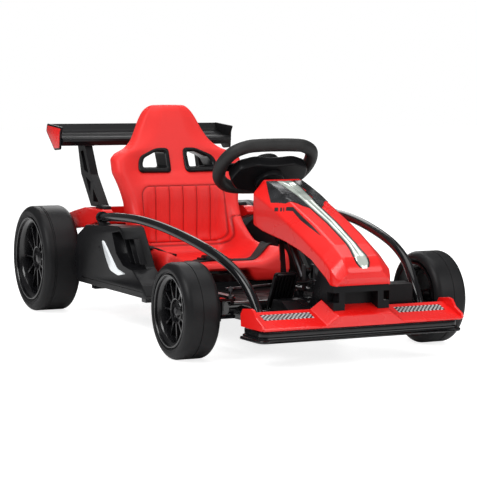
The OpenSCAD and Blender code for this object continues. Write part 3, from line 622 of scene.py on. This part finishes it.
def block(bm, low, high, ease, segments=2, taper=1.0):
    """A moulded block in mm between two corners, its top drawn in by taper."""
    part = bmesh.new()
    verts = bmesh.ops.create_cube(part, size=1.0)["verts"]
    for v in verts:
        share = taper if v.co.z > 0 else 1.0
        middle = [(a + b) / 2 for a, b in zip(low, high)]
        span = [b - a for a, b in zip(low, high)]
        v.co = at(
            middle[0] + v.co.x * span[0] * share, middle[1] + v.co.y * span[1] * share,
            middle[2] + v.co.z * span[2],
        )
    bmesh.ops.bevel(
        part, geom=part.edges[:], offset=ease / 1000, offset_type="OFFSET", affect="EDGES",
        segments=segments, profile=0.5, material=-1,
    )
    merge_into(bm, part)


bm = bmesh.new()
rest = seat_top(410, 0) + 1.6
block(bm, (394, -24, rest), (428, 26, rest + 13), 3.0, 3, 0.9)
block(bm, (402, -36, rest + 1), (420, -22, rest + 8), 1.5)
block(bm, (400, 24, rest + 1), (422, 36, rest + 9), 1.5)
block(bm, (404, -8, rest + 11), (418, 18, rest + 15), 1.5)
slide = seat_top(424, -118) + 2.5
block(bm, (404, -130, slide), (446, -106, slide + 6), 1.5)
buckle = finish_piece("buckle_parts", bm, [satin_black], "chassis", ("belt_buckle",), 35, True)

# Nose
# A thin moulded shell in gloss red over the front frame. Its top is narrow and flat, its
# sides lean out to a crease, and dark bars are printed on both sides behind the tip.

red_gloss, nodes, links, shader = new_finish("red gloss")
shader.inputs["Coat Weight"].default_value = 0.35
shader.inputs["Coat Roughness"].default_value = 0.06
mottle(nodes, links, shader, (0.82, 0.008, 0.007), (0.88, 0.012, 0.010), 6.0, 0.24, 0.34)
grain(nodes, links, shader, 90.0, 0.0001, 0.2)

print_black, nodes, links, shader = new_finish("black print")
mottle(nodes, links, shader, (0.012, 0.012, 0.013), (0.020, 0.020, 0.021), 20.0, 0.30, 0.42)
grain(nodes, links, shader, 300.0, 0.0001, 0.2)

top_line = [(772, 356), (786, 352), (820, 342), (868, 326), (916, 307), (1000, 275), (1079, 239)]
top_line += [(1118, 215), (1134, 196), (1138, 186)]
low_line = [(772, 262), (821, 249), (923, 234), (990, 220), (1038, 204), (1096, 172), (1112, 160)]
low_line += [(1128, 159), (1134, 166), (1138, 174)]
wide_line = [(772, 67), (778, 72), (786, 74), (1000, 71), (1118, 67), (1128, 63), (1134, 57), (1138, 50)]


def height_on(line, x):
    """The value of a line of (x, value) pairs at x."""
    for (x0, v0), (x1, v1) in zip(line, line[1:]):
        if x <= x1:
            return v0 + (v1 - v0) * max(x - x0, 0) / (x1 - x0)
    return line[-1][1]


def nose_skin(x, y):
    """Height of the nose's upper face."""
    narrow = 44 - 4 * (x - 772) / 366
    wide = height_on(wide_line, x)
    lean = min(max((abs(y) - narrow) / (wide - narrow), 0), 1)
    return height_on(top_line, x) - 26 * lean


def loft(bm, rings, close_ends=True):
    """Joins rings of points in mm into one closed skin."""
    loops = [[bm.verts.new(at(*p)) for p in ring] for ring in rings]
    for one, two in zip(loops, loops[1:]):
        for i in range(len(one)):
            j = (i + 1) % len(one)
            bm.faces.new((one[i], one[j], two[j], two[i]))
    if close_ends:
        bm.faces.new(loops[0])
        bm.faces.new(loops[-1][::-1])


bm = bmesh.new()
stations = sorted({x for line in (top_line, low_line, wide_line) for x, v in line} | set(range(800, 1110, 20)))
rings = []
for x in stations:
    top = height_on(top_line, x)
    low = height_on(low_line, x)
    wide = height_on(wide_line, x)
    narrow = 44 - 4 * (x - 772) / 366
    lean = min(26, (top - low) * 0.8)
    outer = rounded([(-wide, low), (-wide, top - lean), (-narrow, top), (narrow, top), (wide, top - lean), (wide, low)], 4, 4)
    deep = low + 1 if x > 1125 else top
    inner = [(wide - 3, low + 0.4), (wide - 3, max(deep - 29, low + 0.8)), (narrow - 3, max(deep - 3.5, low + 1))]
    inner += [(-y, z) for y, z in reversed(inner)]
    rings.append([(x, y, z) for y, z in outer + inner])
loft(bm, rings)
nose = finish_piece("nose", bm, [red_gloss], "chassis", ("nose_cone",), 24, True)


def patch(bm, rows, columns, lift):
    """A thin skin that lies on the nose; each row is its x and the two y it runs between."""
    rings = []
    for x, y0, y1 in rows:
        ys = [y0 + (y1 - y0) * k / columns for k in range(columns + 1)]
        upper = [(x, y, nose_skin(x, y) + lift) for y in ys]
        under = [(x, y, nose_skin(x, y) - 0.6) for y in reversed(ys)]
        rings.append(upper + under)
    loft(bm, rings)


# Windscreen
# A dark moulded screen in facets on both sides of the light strip. It runs over the crease
# of the nose and narrows forward to the strip.

screen_black, nodes, links, shader = new_finish("dark screen")
shader.inputs["Coat Weight"].default_value = 0.4
shader.inputs["Coat Roughness"].default_value = 0.12
mottle(nodes, links, shader, (0.008, 0.008, 0.009), (0.030, 0.031, 0.034), 26.0, 0.18, 0.28)
grain(nodes, links, shader, 60.0, 0.0001, 0.15)

bm = bmesh.new()
screen_rows = [(785, 21, 45), (816, 22, 56), (850, 18, 67), (887, 15, 51), (904, 14, 31), (916, 13, 25), (926, 13, 15)]
for side in (-1, 1):
    fine = []
    for (xa, a0, a1), (xb, b0, b1) in zip(screen_rows, screen_rows[1:]):
        for k in range(4):
            t = k / 4
            fine.append((xa + (xb - xa) * t, side * a0, side * (a1 + (b1 - a1) * t)))
    fine.append((926, side * 13, side * 15))
    patch(bm, fine, 16, 1.6)
screen = finish_piece("screen", bm, [screen_black], "chassis", ("nose_window",), 12)

# Light strip
# A clear guide with two ridges over bright foil, in a dark channel along the middle of the
# nose. It is wide under the screen, narrow along the slope and ends in a rounded lens.

strip_clear, nodes, links, shader = new_finish("clear light guide")
shader.inputs["Metallic"].default_value = 0.55
shader.inputs["Coat Weight"].default_value = 1.0
shader.inputs["Emission Color"].default_value = (0.80, 0.95, 0.84, 1)
shader.inputs["Emission Strength"].default_value = 0.12
mottle(nodes, links, shader, (0.46, 0.52, 0.47), (0.80, 0.86, 0.78), 26.0, 0.08, 0.18)
grain(nodes, links, shader, 160.0, 0.0002, 0.3)

strip_line = [(776, 19), (800, 20), (830, 17), (868, 13), (916, 11), (1000, 9.5), (1063, 8.5), (1095, 9.5)]
strip_line += [(1112, 13), (1124, 13.5), (1131, 11), (1135, 6)]
bm = bmesh.new()
channel = []
for x in range(784, 1136, 7):
    half = height_on(strip_line, x) + 3.5
    channel.append((x, -half, half))
patch(bm, channel, 8, 0.7)
groove = finish_piece("strip_channel", bm, [print_black], "chassis", (), 20)

bm = bmesh.new()
rings = []
ridge = [(-1, -0.4), (-0.86, 2.2), (-0.5, 3.4), (-0.1, 2.0), (0.1, 2.0), (0.5, 3.4), (0.86, 2.2), (1, -0.4)]
for x in list(range(786, 1132, 6)) + [1133, 1135]:
    half = height_on(strip_line, x)
    grown = 0.35 + 0.65 * ease_in(784, 800, x) * ease_in(-1138, -1126, -x)
    rings.append([(x, y * half, nose_skin(x, 0) + 0.5 + rise * grown) for y, rise in ridge])
loft(bm, rings)
strip = finish_piece("light_strip", bm, [strip_clear], "chassis", ("nose_light_strip",), 30)

# Nose side print
# Three short bars and one long arrow on each side of the nose, printed flat just above
# the crease.

bars = [[(872, 69), (880, 64.5), (888, 68.8), (879, 72.8)], [(885, 62.2), (889, 59.8), (897, 64), (893, 66.5)]]
bars += [[(892, 58.5), (894, 57.2), (902, 61.5), (900, 63)], [(898, 54), (913, 46.2), (921, 51.2), (904, 59)]]
bars += [[(913, 46.2), (960, 47), (958, 53), (921, 51.2)], [(960, 47), (998, 46.5), (998, 51), (958, 53)]]
bars += [[(998, 46.5), (1034, 46.4), (1034, 46.8), (998, 51)]]
bm = bmesh.new()
for side in (-1, 1):
    for outline in bars:
        loft(bm, [
            [(x, side * y, nose_skin(x, y) + lift) for x, y in outline] for lift in (-0.4, 0.5)
        ])
prints = finish_piece("nose_print", bm, [print_black], "chassis", (), 30)


def side_place(u, v, w):
    """Outlines drawn in X and Z, standing along Y."""
    return at(u, w, v)


def prism(bm, outline, low, high, ease, place=side_place, segments=2):
    """A plate with the given outline between two levels, its edges eased."""
    part = bmesh.new()
    loop = [part.verts.new(place(u, v, low)) for u, v in outline]
    far = [part.verts.new(place(u, v, high)) for u, v in outline]
    part.faces.new(loop)
    part.faces.new(far[::-1])
    for i in range(len(loop)):
        j = (i + 1) % len(loop)
        part.faces.new((loop[i], far[i], far[j], loop[j]))
    bmesh.ops.recalc_face_normals(part, faces=part.faces)
    if ease:
        bmesh.ops.bevel(
            part, geom=[e for e in part.edges if e.calc_face_angle(0) > 0.25], offset=ease / 1000,
            offset_type="OFFSET", affect="EDGES", segments=segments, profile=0.5, material=-1,
        )
    merge_into(bm, part)


def cutter_of(outline, low, high, place=side_place):
    """A loose body for cut_out."""
    bm = bmesh.new()
    prism(bm, outline, low, high, 0, place)
    mesh = bpy.data.meshes.new("cutter")
    bm.to_mesh(mesh)
    bm.free()
    cutter = bpy.data.objects.new("cutter", mesh)
    scene.collection.objects.link(cutter)
    return cutter


# Side pods
# Black moulded boxes between the wheels. The outer panel has a slanted intake with two
# ribs and a drain cap on the sill, and the crescent lamp sits in its own recess.

pod_line = [(171, 94), (188, 88), (592, 88), (604, 94), (582, 117), (558, 129), (520, 150)]
pod_line += [(464, 226), (455, 236), (440, 240), (300, 233), (236, 229), (180, 203), (162, 160), (160, 116)]
intake_line = [(404, 222), (452, 229), (560, 146), (512, 146), (470, 152), (430, 176)]
lamp_line = rounded([(338, 200), (356, 200), (436, 142), (486, 134), (440, 126), (392, 134), (364, 162)], 9, 5)
for side, hand in ((1, "left"), (-1, "right")):
    bm = bmesh.new()
    prism(bm, pod_line, side * 192, side * 251.5, 2.2)
    pod = finish_piece("pod_" + hand, bm, [satin_black], "chassis", ("side_pod_" + hand,), 30, True)
    cut_out(pod, cutter_of(intake_line, side * 216, side * 262))
    cut_out(pod, cutter_of([(206, 101), (582, 101), (582, 103), (206, 103)], side * 249.5, side * 262))
    cut_out(pod, cutter_of(lamp_line, side * 246.5, side * 262))
    for face in pod.data.polygons:
        face.use_smooth = True
    pod.data.set_sharp_from_angle(angle=math.radians(30))
    bm = bmesh.new()
    prism(bm, [(302, 229), (338, 229), (332, 241), (308, 239.8)], side * 226, side * 246, 2)
    prism(bm, rounded([(318, 186), (330, 186), (330, 174), (318, 174)], 6, 6), side * 250, side * 252.4, 0.6)
    for x in (448, 478, 508):
        prism(bm, [(x - 22, 212), (x - 18, 212), (x + 22, 158), (x + 18, 158)], side * 216, side * 232, 0.8)
    ribs = finish_piece("intake_ribs_" + hand, bm, [satin_black], "chassis", (), 30)

lamp_white, nodes, links, shader = new_finish("white lamp lens")
shader.inputs["Coat Weight"].default_value = 1.0
shader.inputs["Coat Roughness"].default_value = 0.05
shader.inputs["Emission Color"].default_value = (0.92, 0.97, 1.0, 1)
shader.inputs["Emission Strength"].default_value = 0.25
mottle(nodes, links, shader, (0.80, 0.83, 0.85), (0.90, 0.92, 0.94), 30.0, 0.12, 0.2)
grain(nodes, links, shader, 200.0, 0.0001, 0.2)

bm = bmesh.new()
for side in (-1, 1):
    prism(bm, [(u + (410 - u) * 0.015, v) for u, v in lamp_line], side * 246, side * 252.6, 1.6, segments=3)
lamps = finish_piece("crescent_lamps", bm, [lamp_white], "chassis", ("side_lamps",), 30)

# Side bars
# Bent round tube, painted black, from a ring on the cowl forward along the pod and down
# to a flange on the bumper.


def smooth_path(points, steps, closed=False):
    """A smooth curve through points."""
    count = len(points)
    path = []
    for i in range(count if closed else count - 1):
        near = [points[(i + k) % count] if closed else points[min(max(i + k, 0), count - 1)] for k in (-1, 0, 1, 2)]
        a, b, c, d = [Vector(p) for p in near]
        for k in range(steps):
            t = k / steps
            path.append(0.5 * (2 * b + (c - a) * t + (2 * a - 5 * b + 4 * c - d) * t * t + (3 * b - a - 3 * c + d) * t**3))
    if not closed:
        path.append(Vector(points[-1]))
    return path


def tube(bm, path, radius, sides=24, closed=False, place=at, flat=1.0):
    """Round stock along a path in mm."""
    rings = []
    count = len(path)
    for i, p in enumerate(path):
        if closed:
            ahead = path[(i + 1) % count] - path[i - 1]
        else:
            ahead = path[min(i + 1, count - 1)] - path[max(i - 1, 0)]
        guide = Vector((0, 0, 1)) if closed else Vector((0, 1, 0))
        up = ahead.cross(guide).normalized()
        out = ahead.cross(up).normalized()
        ring = []
        for k in range(sides):
            a = math.tau * k / sides
            q = p + radius * (math.cos(a) * up + math.sin(a) * out * flat)
            ring.append(bm.verts.new(place(*q)))
        rings.append(ring)
    if closed:
        rings.append(rings[0])
    for one, two in zip(rings, rings[1:]):
        for k in range(sides):
            j = (k + 1) % sides
            bm.faces.new((one[k], one[j], two[j], two[k]))
    if not closed:
        bm.faces.new(rings[0][::-1])
        bm.faces.new(rings[-1])


for side, hand in ((1, "left"), (-1, "right")):
    low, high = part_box("side_bar_" + hand)
    bends = [(296, 236, 250), (420, 248, 259), (560, 248, 262), (700, 238, 250), (850, 222, 222)]
    bends += [(945, 206, 190), (1000, 194, 150), (1034, 188.5, 106), (1044, 188, 80)]
    bm = bmesh.new()
    tube(bm, smooth_path([(x, side * y, z) for x, y, z in bends], 10), 10)
    for x, y, z, r, h in ((1044, 188, 81, 13, 6), (1044, 188, 85, 11.5, 3)):
        part = bmesh.new()
        verts = bmesh.ops.create_cone(part, cap_ends=True, segments=32, radius1=r / 1000, radius2=r / 1000, depth=h / 1000)["verts"]
        bmesh.ops.translate(part, verts=verts, vec=at(x, side * y, z))
        merge_into(bm, part)
    # The clamp ring round the bar's rear end.
    tube(bm, [Vector((300, side * 236.4, 250.6)), Vector((314, side * 237.8, 251.8))], 13.5)
    bar = finish_piece("side_bar_" + hand, bm, [powder_coat], "chassis", ("side_bar_" + hand,), 40)

# Rear cowl
# A red moulded deck over the drive with an arm along each side of the seat. A raised block
# on each arm takes the bar's clamp.

cowl_line = [(-40, 214), (-40, 236), (30, 250), (100, 262), (215, 262), (240, 250), (235, 240), (160, 224)]
cowl_line += [(100, 212), (0, 200)]
cowl_half = (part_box("rear_cowl")[1][1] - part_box("rear_cowl")[0][1]) / 2 * 1000
bm = bmesh.new()
prism(bm, cowl_line, -cowl_half, cowl_half, 4, segments=3)
cowl = finish_piece("cowl_shell", bm, [red_gloss], "chassis", ("rear_cowl",), 30, True)
cut_out(cowl, cutter_of([(118, 150), (300, 150), (300, 300), (118, 300)], -cowl_half + 28, cowl_half - 28))
cut_out(cowl, cutter_of([(-30, 190), (235, 190), (150, 219), (-30, 226)], -cowl_half + 4, cowl_half - 4))
cut_out(cowl, cutter_of([(96, 258), (98, 258), (98, 300), (96, 300)], -cowl_half - 5, cowl_half + 5))
for face in cowl.data.polygons:
    face.use_smooth = True
cowl.data.set_sharp_from_angle(angle=math.radians(30))

bm = bmesh.new()
for side in (-1, 1):
    prism(bm, [(150, 262.4), (206, 262.4), (200, 270), (158, 270)], side * 172, side * 194, 2)
pads = finish_piece("cowl_pads", bm, [satin_black], "chassis", (), 30)

# Rear wing
# A stepped black blade on two lattice struts. The end plates are red with a black rim, and
# the blade's upper face has two long grooves and a low fin along its trailing edge.

blade_low, blade_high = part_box("wing_blade")
blade_half = (blade_high[1] - blade_low[1]) / 2 * 1000
blade_line = [(-74, 462), (-69, 465), (-60, 451), (-56, 446), (-34, 438), (-31, 439.5), (-28, 436.5), (-8, 434.5)]
blade_line += [(-6, 436), (-3, 434), (20, 433), (30, 428), (32, 422), (22, 411), (-4, 414), (-30, 417), (-64, 446)]
bm = bmesh.new()
prism(bm, blade_line, -blade_half, blade_half, 0.7)
for side in (-1, 1):
    strut_low, strut_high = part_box("wing_strut_left")
    inner = strut_low[1] * 1000 - 4
    prism(bm, [(-34, 410.3), (24, 410.3), (24, 416), (-30, 421)], side * inner, side * (inner + 28), 1)
blade = finish_piece("blade_shell", bm, [satin_black], "chassis", ("wing_blade",), 30, True)

plate_line = rounded([(-74, 466), (-82, 446), (-21, 399), (20, 402), (24, 444), (34, 458)], 6, 4)
face_line = rounded([(-70, 461), (-76, 446), (-20, 404), (15, 406), (19, 446), (27, 454)], 5, 4)
bm = bmesh.new()
for side in (-1, 1):
    prism(bm, plate_line, side * (blade_half + 0.3), side * (blade_half + 4.2), 0.8)
rims = finish_piece("end_plate_rims", bm, [satin_black], "chassis", ("wing_end_plates",), 30)
bm = bmesh.new()
for side in (-1, 1):
    prism(bm, face_line, side * (blade_half + 4.0), side * (blade_half + 5.4), 0.5)
faces = finish_piece("end_plate_faces", bm, [red_gloss], "chassis", (), 30)

# Front wing
# A red moulded wing above the bumper. Its middle stands higher, the ends carry stepped
# fins, and small chequers are printed along the front of each half.

wing_low, wing_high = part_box("front_wing")
wing_half = (wing_high[1] - wing_low[1]) / 2 * 1000
wing_line = [(1060, 102), (1068, 110), (1136, 86), (1141, 83), (1138, 79), (1070, 80), (1060, 88)]
stations = [(-wing_half + 5, 0), (-88, 0), (-60, 1), (60, 1), (88, 0), (wing_half - 5, 0)]
bm = bmesh.new()
rings = []
for y, raised in stations:
    ring = []
    for x, z in wing_line:
        upper = z > 82 and x > 1060 or z > 100
        ring.append((x, y, z + (19 if raised and upper else 0)))
    rings.append(ring)
loft(bm, rings)
bmesh.ops.recalc_face_normals(bm, faces=bm.faces)
bmesh.ops.bevel(
    bm, geom=[e for e in bm.edges if e.calc_face_angle(0) > 0.3], offset=0.0015, offset_type="OFFSET",
    affect="EDGES", segments=2, profile=0.5, material=-1,
)
fin_line = [(1044, 80), (1042, 104), (1052, 116), (1088, 120), (1100, 118), (1112, 104), (1138, 92), (1141, 84), (1136, 80)]
for side in (-1, 1):
    prism(bm, fin_line, side * (wing_half - 6), side * wing_half, 1.5)
    prism(bm, [(1056, 82), (1056, 98), (1096, 98), (1112, 86)], side * (wing_half - 12), side * (wing_half - 5), 1.0)
wing = finish_piece("wing_shell", bm, [red_gloss], "chassis", ("front_wing",), 30, True)

print_white, nodes, links, shader = new_finish("pale print")
mottle(nodes, links, shader, (0.50, 0.50, 0.50), (0.62, 0.62, 0.62), 20.0, 0.30, 0.42)
grain(nodes, links, shader, 300.0, 0.0001, 0.2)


def on_wing(x):
    """Height of the wing's sloping upper face."""
    return 110 - (x - 1068) * 24 / 68


def decal(bm, x0, x1, y0, y1, lift):
    """A printed field on the wing's upper face."""
    ring = [(x0, on_wing(x0) - 0.4), (x1, on_wing(x1) - 0.4), (x1, on_wing(x1) + lift), (x0, on_wing(x0) + lift)]
    loft(bm, [[(x, y, z) for x, z in ring] for y in (y0, y1)])


chequer = 4.6
bm = bmesh.new()
pale = bmesh.new()
for side in (-1, 1):
    decal(pale, 1082, 1082 + 5 * chequer, side * 98, side * (98 + 24 * chequer), 0.25)
    for i in range(24):
        for k in range(5):
            if (i + k) % 2:
                y = 98 + i * chequer
                decal(bm, 1082 + k * chequer, 1082 + (k + 1) * chequer, side * y, side * (y + chequer), 0.5)
chequers = finish_piece("chequers", bm, [print_black], "chassis", (), 30)
field = finish_piece("chequer_field", pale, [print_white], "chassis", (), 30)

# Bumper
# A black moulded bumper in two tiers below the wing, with a groove between them, round
# ends and a hole through both at each bolt. A bead runs along the lower tier's front.


def flat_place(u, v, w):
    """Outlines drawn in X and Y, standing along Z."""
    return at(u, v, w)


for name, z0, z1, front, end_y in (("bumper_upper", 65, 77.5, 1129, 226), ("bumper_lower", 54, 65.5, 1133, 230)):
    plan = rounded([(1037, end_y), (front, end_y), (front, -end_y), (1037, -end_y)], 18, 9)
    bm = bmesh.new()
    prism(bm, plan, z0, z1, 2.0, flat_place)
    tier = finish_piece(name, bm, [powder_coat], "chassis", ("front_bumper",) if z1 > 70 else (), 30)
    for side in (-1, 1):
        turn = [math.tau * k / 32 for k in range(32)]
        ring = [(1100 + 5 * math.cos(t), side * 185 + 5 * math.sin(t)) for t in turn]
        cut_out(tier, cutter_of(ring, 30, 90, flat_place))
    for face in tier.data.polygons:
        face.use_smooth = True
    tier.data.set_sharp_from_angle(angle=math.radians(30))
bm = bmesh.new()
plan = rounded([(1050, 231), (1134, 231), (1134, -231), (1050, -231)], 18, 9)
plan = plan[10:] + plan[:10]
plan = [Vector((x, y, 58)) for x, y in plan if x > 1075]
ends = [Vector((1046, 231, 58)), Vector((1046, -231, 58))]
tube(bm, [ends[1]] + sorted(plan, key=lambda p: p.y) + [ends[0]], 3.6, 12)
bead = finish_piece("bumper_bead", bm, [powder_coat], "chassis", (), 50)

# Drive pedal
# A leaning black plate with a thick rim and vertical ribs on the side towards the nose.

pedal_foot = at(937, -96, 100)
pedal_lean = math.radians(28)
pedal_up = Vector((math.sin(pedal_lean), 0, math.cos(pedal_lean)))
pedal_out = Vector((math.cos(pedal_lean), 0, -math.sin(pedal_lean)))


def pedal_place(u, v, w):
    """Points in mm: across to the left, up the plate, and out of it towards the nose."""
    return pedal_foot + Vector((0, u / 1000, 0)) + pedal_up * (v / 1000) + pedal_out * (w / 1000)


bm = bmesh.new()
plate = rounded([(-26, 2), (-26, 86), (26, 86), (26, 2)], 8, 5)
prism(bm, plate, -2, 2.5, 1, pedal_place)
prism(bm, [(-26, 2), (-26, 80), (-22.5, 80), (-22.5, 2)], 2, 8, 1, pedal_place)
prism(bm, [(22.5, 2), (22.5, 80), (26, 80), (26, 2)], 2, 8, 1, pedal_place)
prism(bm, [(-20, 81), (-20, 85), (20, 85), (20, 81)], 2, 8, 1, pedal_place)
for k in range(5):
    u = -15.5 + k * 7.75
    prism(bm, [(u - 1.2, 4), (u - 1.2, 81), (u + 1.2, 81), (u + 1.2, 4)], 2, 6.5, 0.5, pedal_place)
pedal = finish_piece("pedal_plate", bm, [satin_black], "chassis", ("drive_pedal",), 30)

# Steering wheel
# A loop of foam grip over a steel core, on two flat spokes, and
# a dark housing of two lobes with oval pads behind it. The two seams on the grip's top are not drawn.

grip, nodes, links, shader = new_finish("black grip")
mottle(nodes, links, shader, (0.012, 0.012, 0.012), (0.020, 0.020, 0.020), 40.0, 0.5, 0.62)
grain(nodes, links, shader, 500.0, 0.0004, 0.6)

pad_grey, nodes, links, shader = new_finish("grey pads")
mottle(nodes, links, shader, (0.10, 0.10, 0.105), (0.14, 0.14, 0.145), 30.0, 0.4, 0.5)
grain(nodes, links, shader, 400.0, 0.0001)

wheel_middle = at(686, 0, 381)
lean = math.radians(39)
wheel_ahead = Vector((math.cos(lean), 0, math.sin(lean)))
wheel_up = Vector((-math.sin(lean), 0, math.cos(lean)))


def wheel_place(u, v, w):
    """Points in mm: forward in the wheel's plane, to the left, and towards the driver."""
    return wheel_middle + wheel_ahead * (u / 1000) + Vector((0, v / 1000, 0)) + wheel_up * (w / 1000)


half_loop = [(77, 40), (72, 70), (52, 96), (14, 107), (-28, 101), (-58, 81), (-74, 52)]
loop = [(u, v, 0) for u, v in half_loop] + [(-78, 0, 0)] + [(u, -v, 0) for u, v in reversed(half_loop)]
bm = bmesh.new()
tube(bm, smooth_path(loop + [(78, 0, 0)], 10, True), 14.5, 28, True, wheel_place)
wheel = finish_piece("steering_wheel_grip", bm, [grip], "steering", ("steering_wheel",), 50)

bm = bmesh.new()
for side in (-1, 1):
    prism(bm, [(-16, side * 20), (16, side * 20), (10, side * 100), (-12, side * 100)], -3, 3, 1.2, wheel_place)
ring = [(36 * math.cos(math.tau * k / 40), 36 * math.sin(math.tau * k / 40)) for k in range(40)]
prism(bm, ring, -7, 10, 2, wheel_place)
prism(bm, [(u * 0.72, v * 0.72) for u, v in ring], 9, 17, 3, wheel_place)
lobe = [(46, 14), (52, 46), (36, 84), (-4, 92), (-38, 66), (-50, 20)]
lobes = rounded(lobe + [(u, -v) for u, v in reversed(lobe)], 12, 4)
prism(bm, lobes, -34, -7.4, 4, wheel_place, 3)
prism(bm, [(u * 0.9, v * 0.9) for u, v in ring], -46, -33, 3, wheel_place)
hub = finish_piece("hub_parts", bm, [satin_black], "steering", ("steering_hub",), 30, True)
bm = bmesh.new()
for side in (-1, 1):
    oval = [(8 + 15 * math.cos(math.tau * k / 28), side * 60 + 17 * math.sin(math.tau * k / 28)) for k in range(28)]
    prism(bm, oval, -8.4, -5.6, 1, wheel_place)
pads = finish_piece("wheel_pads", bm, [pad_grey], "steering", (), 30)

# Studio
# A pale floor that keeps the kart's shadow, a white surround, and soft lamps.

scene.view_settings.view_transform = "Standard"

floor_mesh = bpy.data.meshes.new("floor")
bm = bmesh.new()
bmesh.ops.create_grid(bm, x_segments=1, y_segments=1, size=20.0)
bm.to_mesh(floor_mesh)
bm.free()
floor = bpy.data.objects.new("floor", floor_mesh)
scene.collection.objects.link(floor)
pale, nodes, links, shader = new_finish("pale floor")
shader.inputs["Base Color"].default_value = (0.90, 0.90, 0.90, 1)
shader.inputs["Roughness"].default_value = 0.22
glow = nodes.new("ShaderNodeEmission")
glow.inputs["Color"].default_value = (1, 1, 1, 1)
seen_by = nodes.new("ShaderNodeLightPath")
level = nodes.new("ShaderNodeMath")
level.operation = "MULTIPLY"
level.inputs[1].default_value = 0.80
links.new(seen_by.outputs["Is Camera Ray"], level.inputs[0])
links.new(level.outputs["Value"], glow.inputs["Strength"])
both = nodes.new("ShaderNodeAddShader")
links.new(shader.outputs["BSDF"], both.inputs[0])
links.new(glow.outputs["Emission"], both.inputs[1])
links.new(both.outputs["Shader"], nodes["Material Output"].inputs["Surface"])
floor_mesh.materials.append(pale)

world = bpy.data.worlds.new("studio")
scene.world = world
world.use_nodes = True
nodes = world.node_tree.nodes
links = world.node_tree.links
background = nodes["Background"]
background.inputs["Color"].default_value = (1, 1, 1, 1)
background.inputs["Strength"].default_value = 0.62
seen = nodes.new("ShaderNodeBackground")
seen.inputs["Color"].default_value = (1, 1, 1, 1)
seen.inputs["Strength"].default_value = 1.0
mirrored = nodes.new("ShaderNodeBackground")
mirrored.inputs["Color"].default_value = (1, 1, 1, 1)
mirrored.inputs["Strength"].default_value = 0.10
path = nodes.new("ShaderNodeLightPath")
by_gloss = nodes.new("ShaderNodeMixShader")
choose = nodes.new("ShaderNodeMixShader")
links.new(path.outputs["Is Glossy Ray"], by_gloss.inputs["Fac"])
links.new(background.outputs["Background"], by_gloss.inputs[1])
links.new(mirrored.outputs["Background"], by_gloss.inputs[2])
links.new(path.outputs["Is Camera Ray"], choose.inputs["Fac"])
links.new(by_gloss.outputs["Shader"], choose.inputs[1])
links.new(seen.outputs["Background"], choose.inputs[2])
links.new(choose.outputs["Shader"], nodes["World Output"].inputs["Surface"])


def soft_lamp(name, place, target, size, power):
    """A square area lamp that faces a point."""
    data = bpy.data.lights.new(name, "AREA")
    data.shape = "SQUARE"
    data.size = size
    data.energy = power
    lamp = bpy.data.objects.new(name, data)
    lamp.location = place
    turn = (Vector(target) - Vector(place)).to_track_quat("-Z", "Y")
    lamp.rotation_euler = turn.to_euler()
    scene.collection.objects.link(lamp)


soft_lamp("key", (1.2, -2.4, 2.6), (0.0, 0.0, 0.2), 1.8, 55)
soft_lamp("fill", (3.0, 1.4, 1.8), (0.0, 0.0, 0.2), 2.0, 28)
soft_lamp("top", (-0.2, 0.3, 3.0), (0.0, 0.0, 0.2), 2.4, 30)
soft_lamp("rear", (-2.6, 1.0, 1.6), (0.0, 0.0, 0.3), 1.6, 18)

# The camera stands low at the kart's right front, with a long lens.
camera_at = Vector((4.186 - 0.505, -1.7551, 0.5447))
camera_to = camera_at + Vector((-0.8973, 0.4337, -0.0825)) * 4.1643
camera_data = bpy.data.cameras.new("camera")
camera_data.sensor_width = 36.0
camera_data.lens = 36.0 * 1766.5 / 477.0
camera_data.clip_end = 60.0
camera = bpy.data.objects.new("camera", camera_data)
camera.location = camera_at
camera.rotation_euler = (camera_to - camera_at).to_track_quat("-Z", "Y").to_euler()
scene.collection.objects.link(camera)
scene.camera = camera
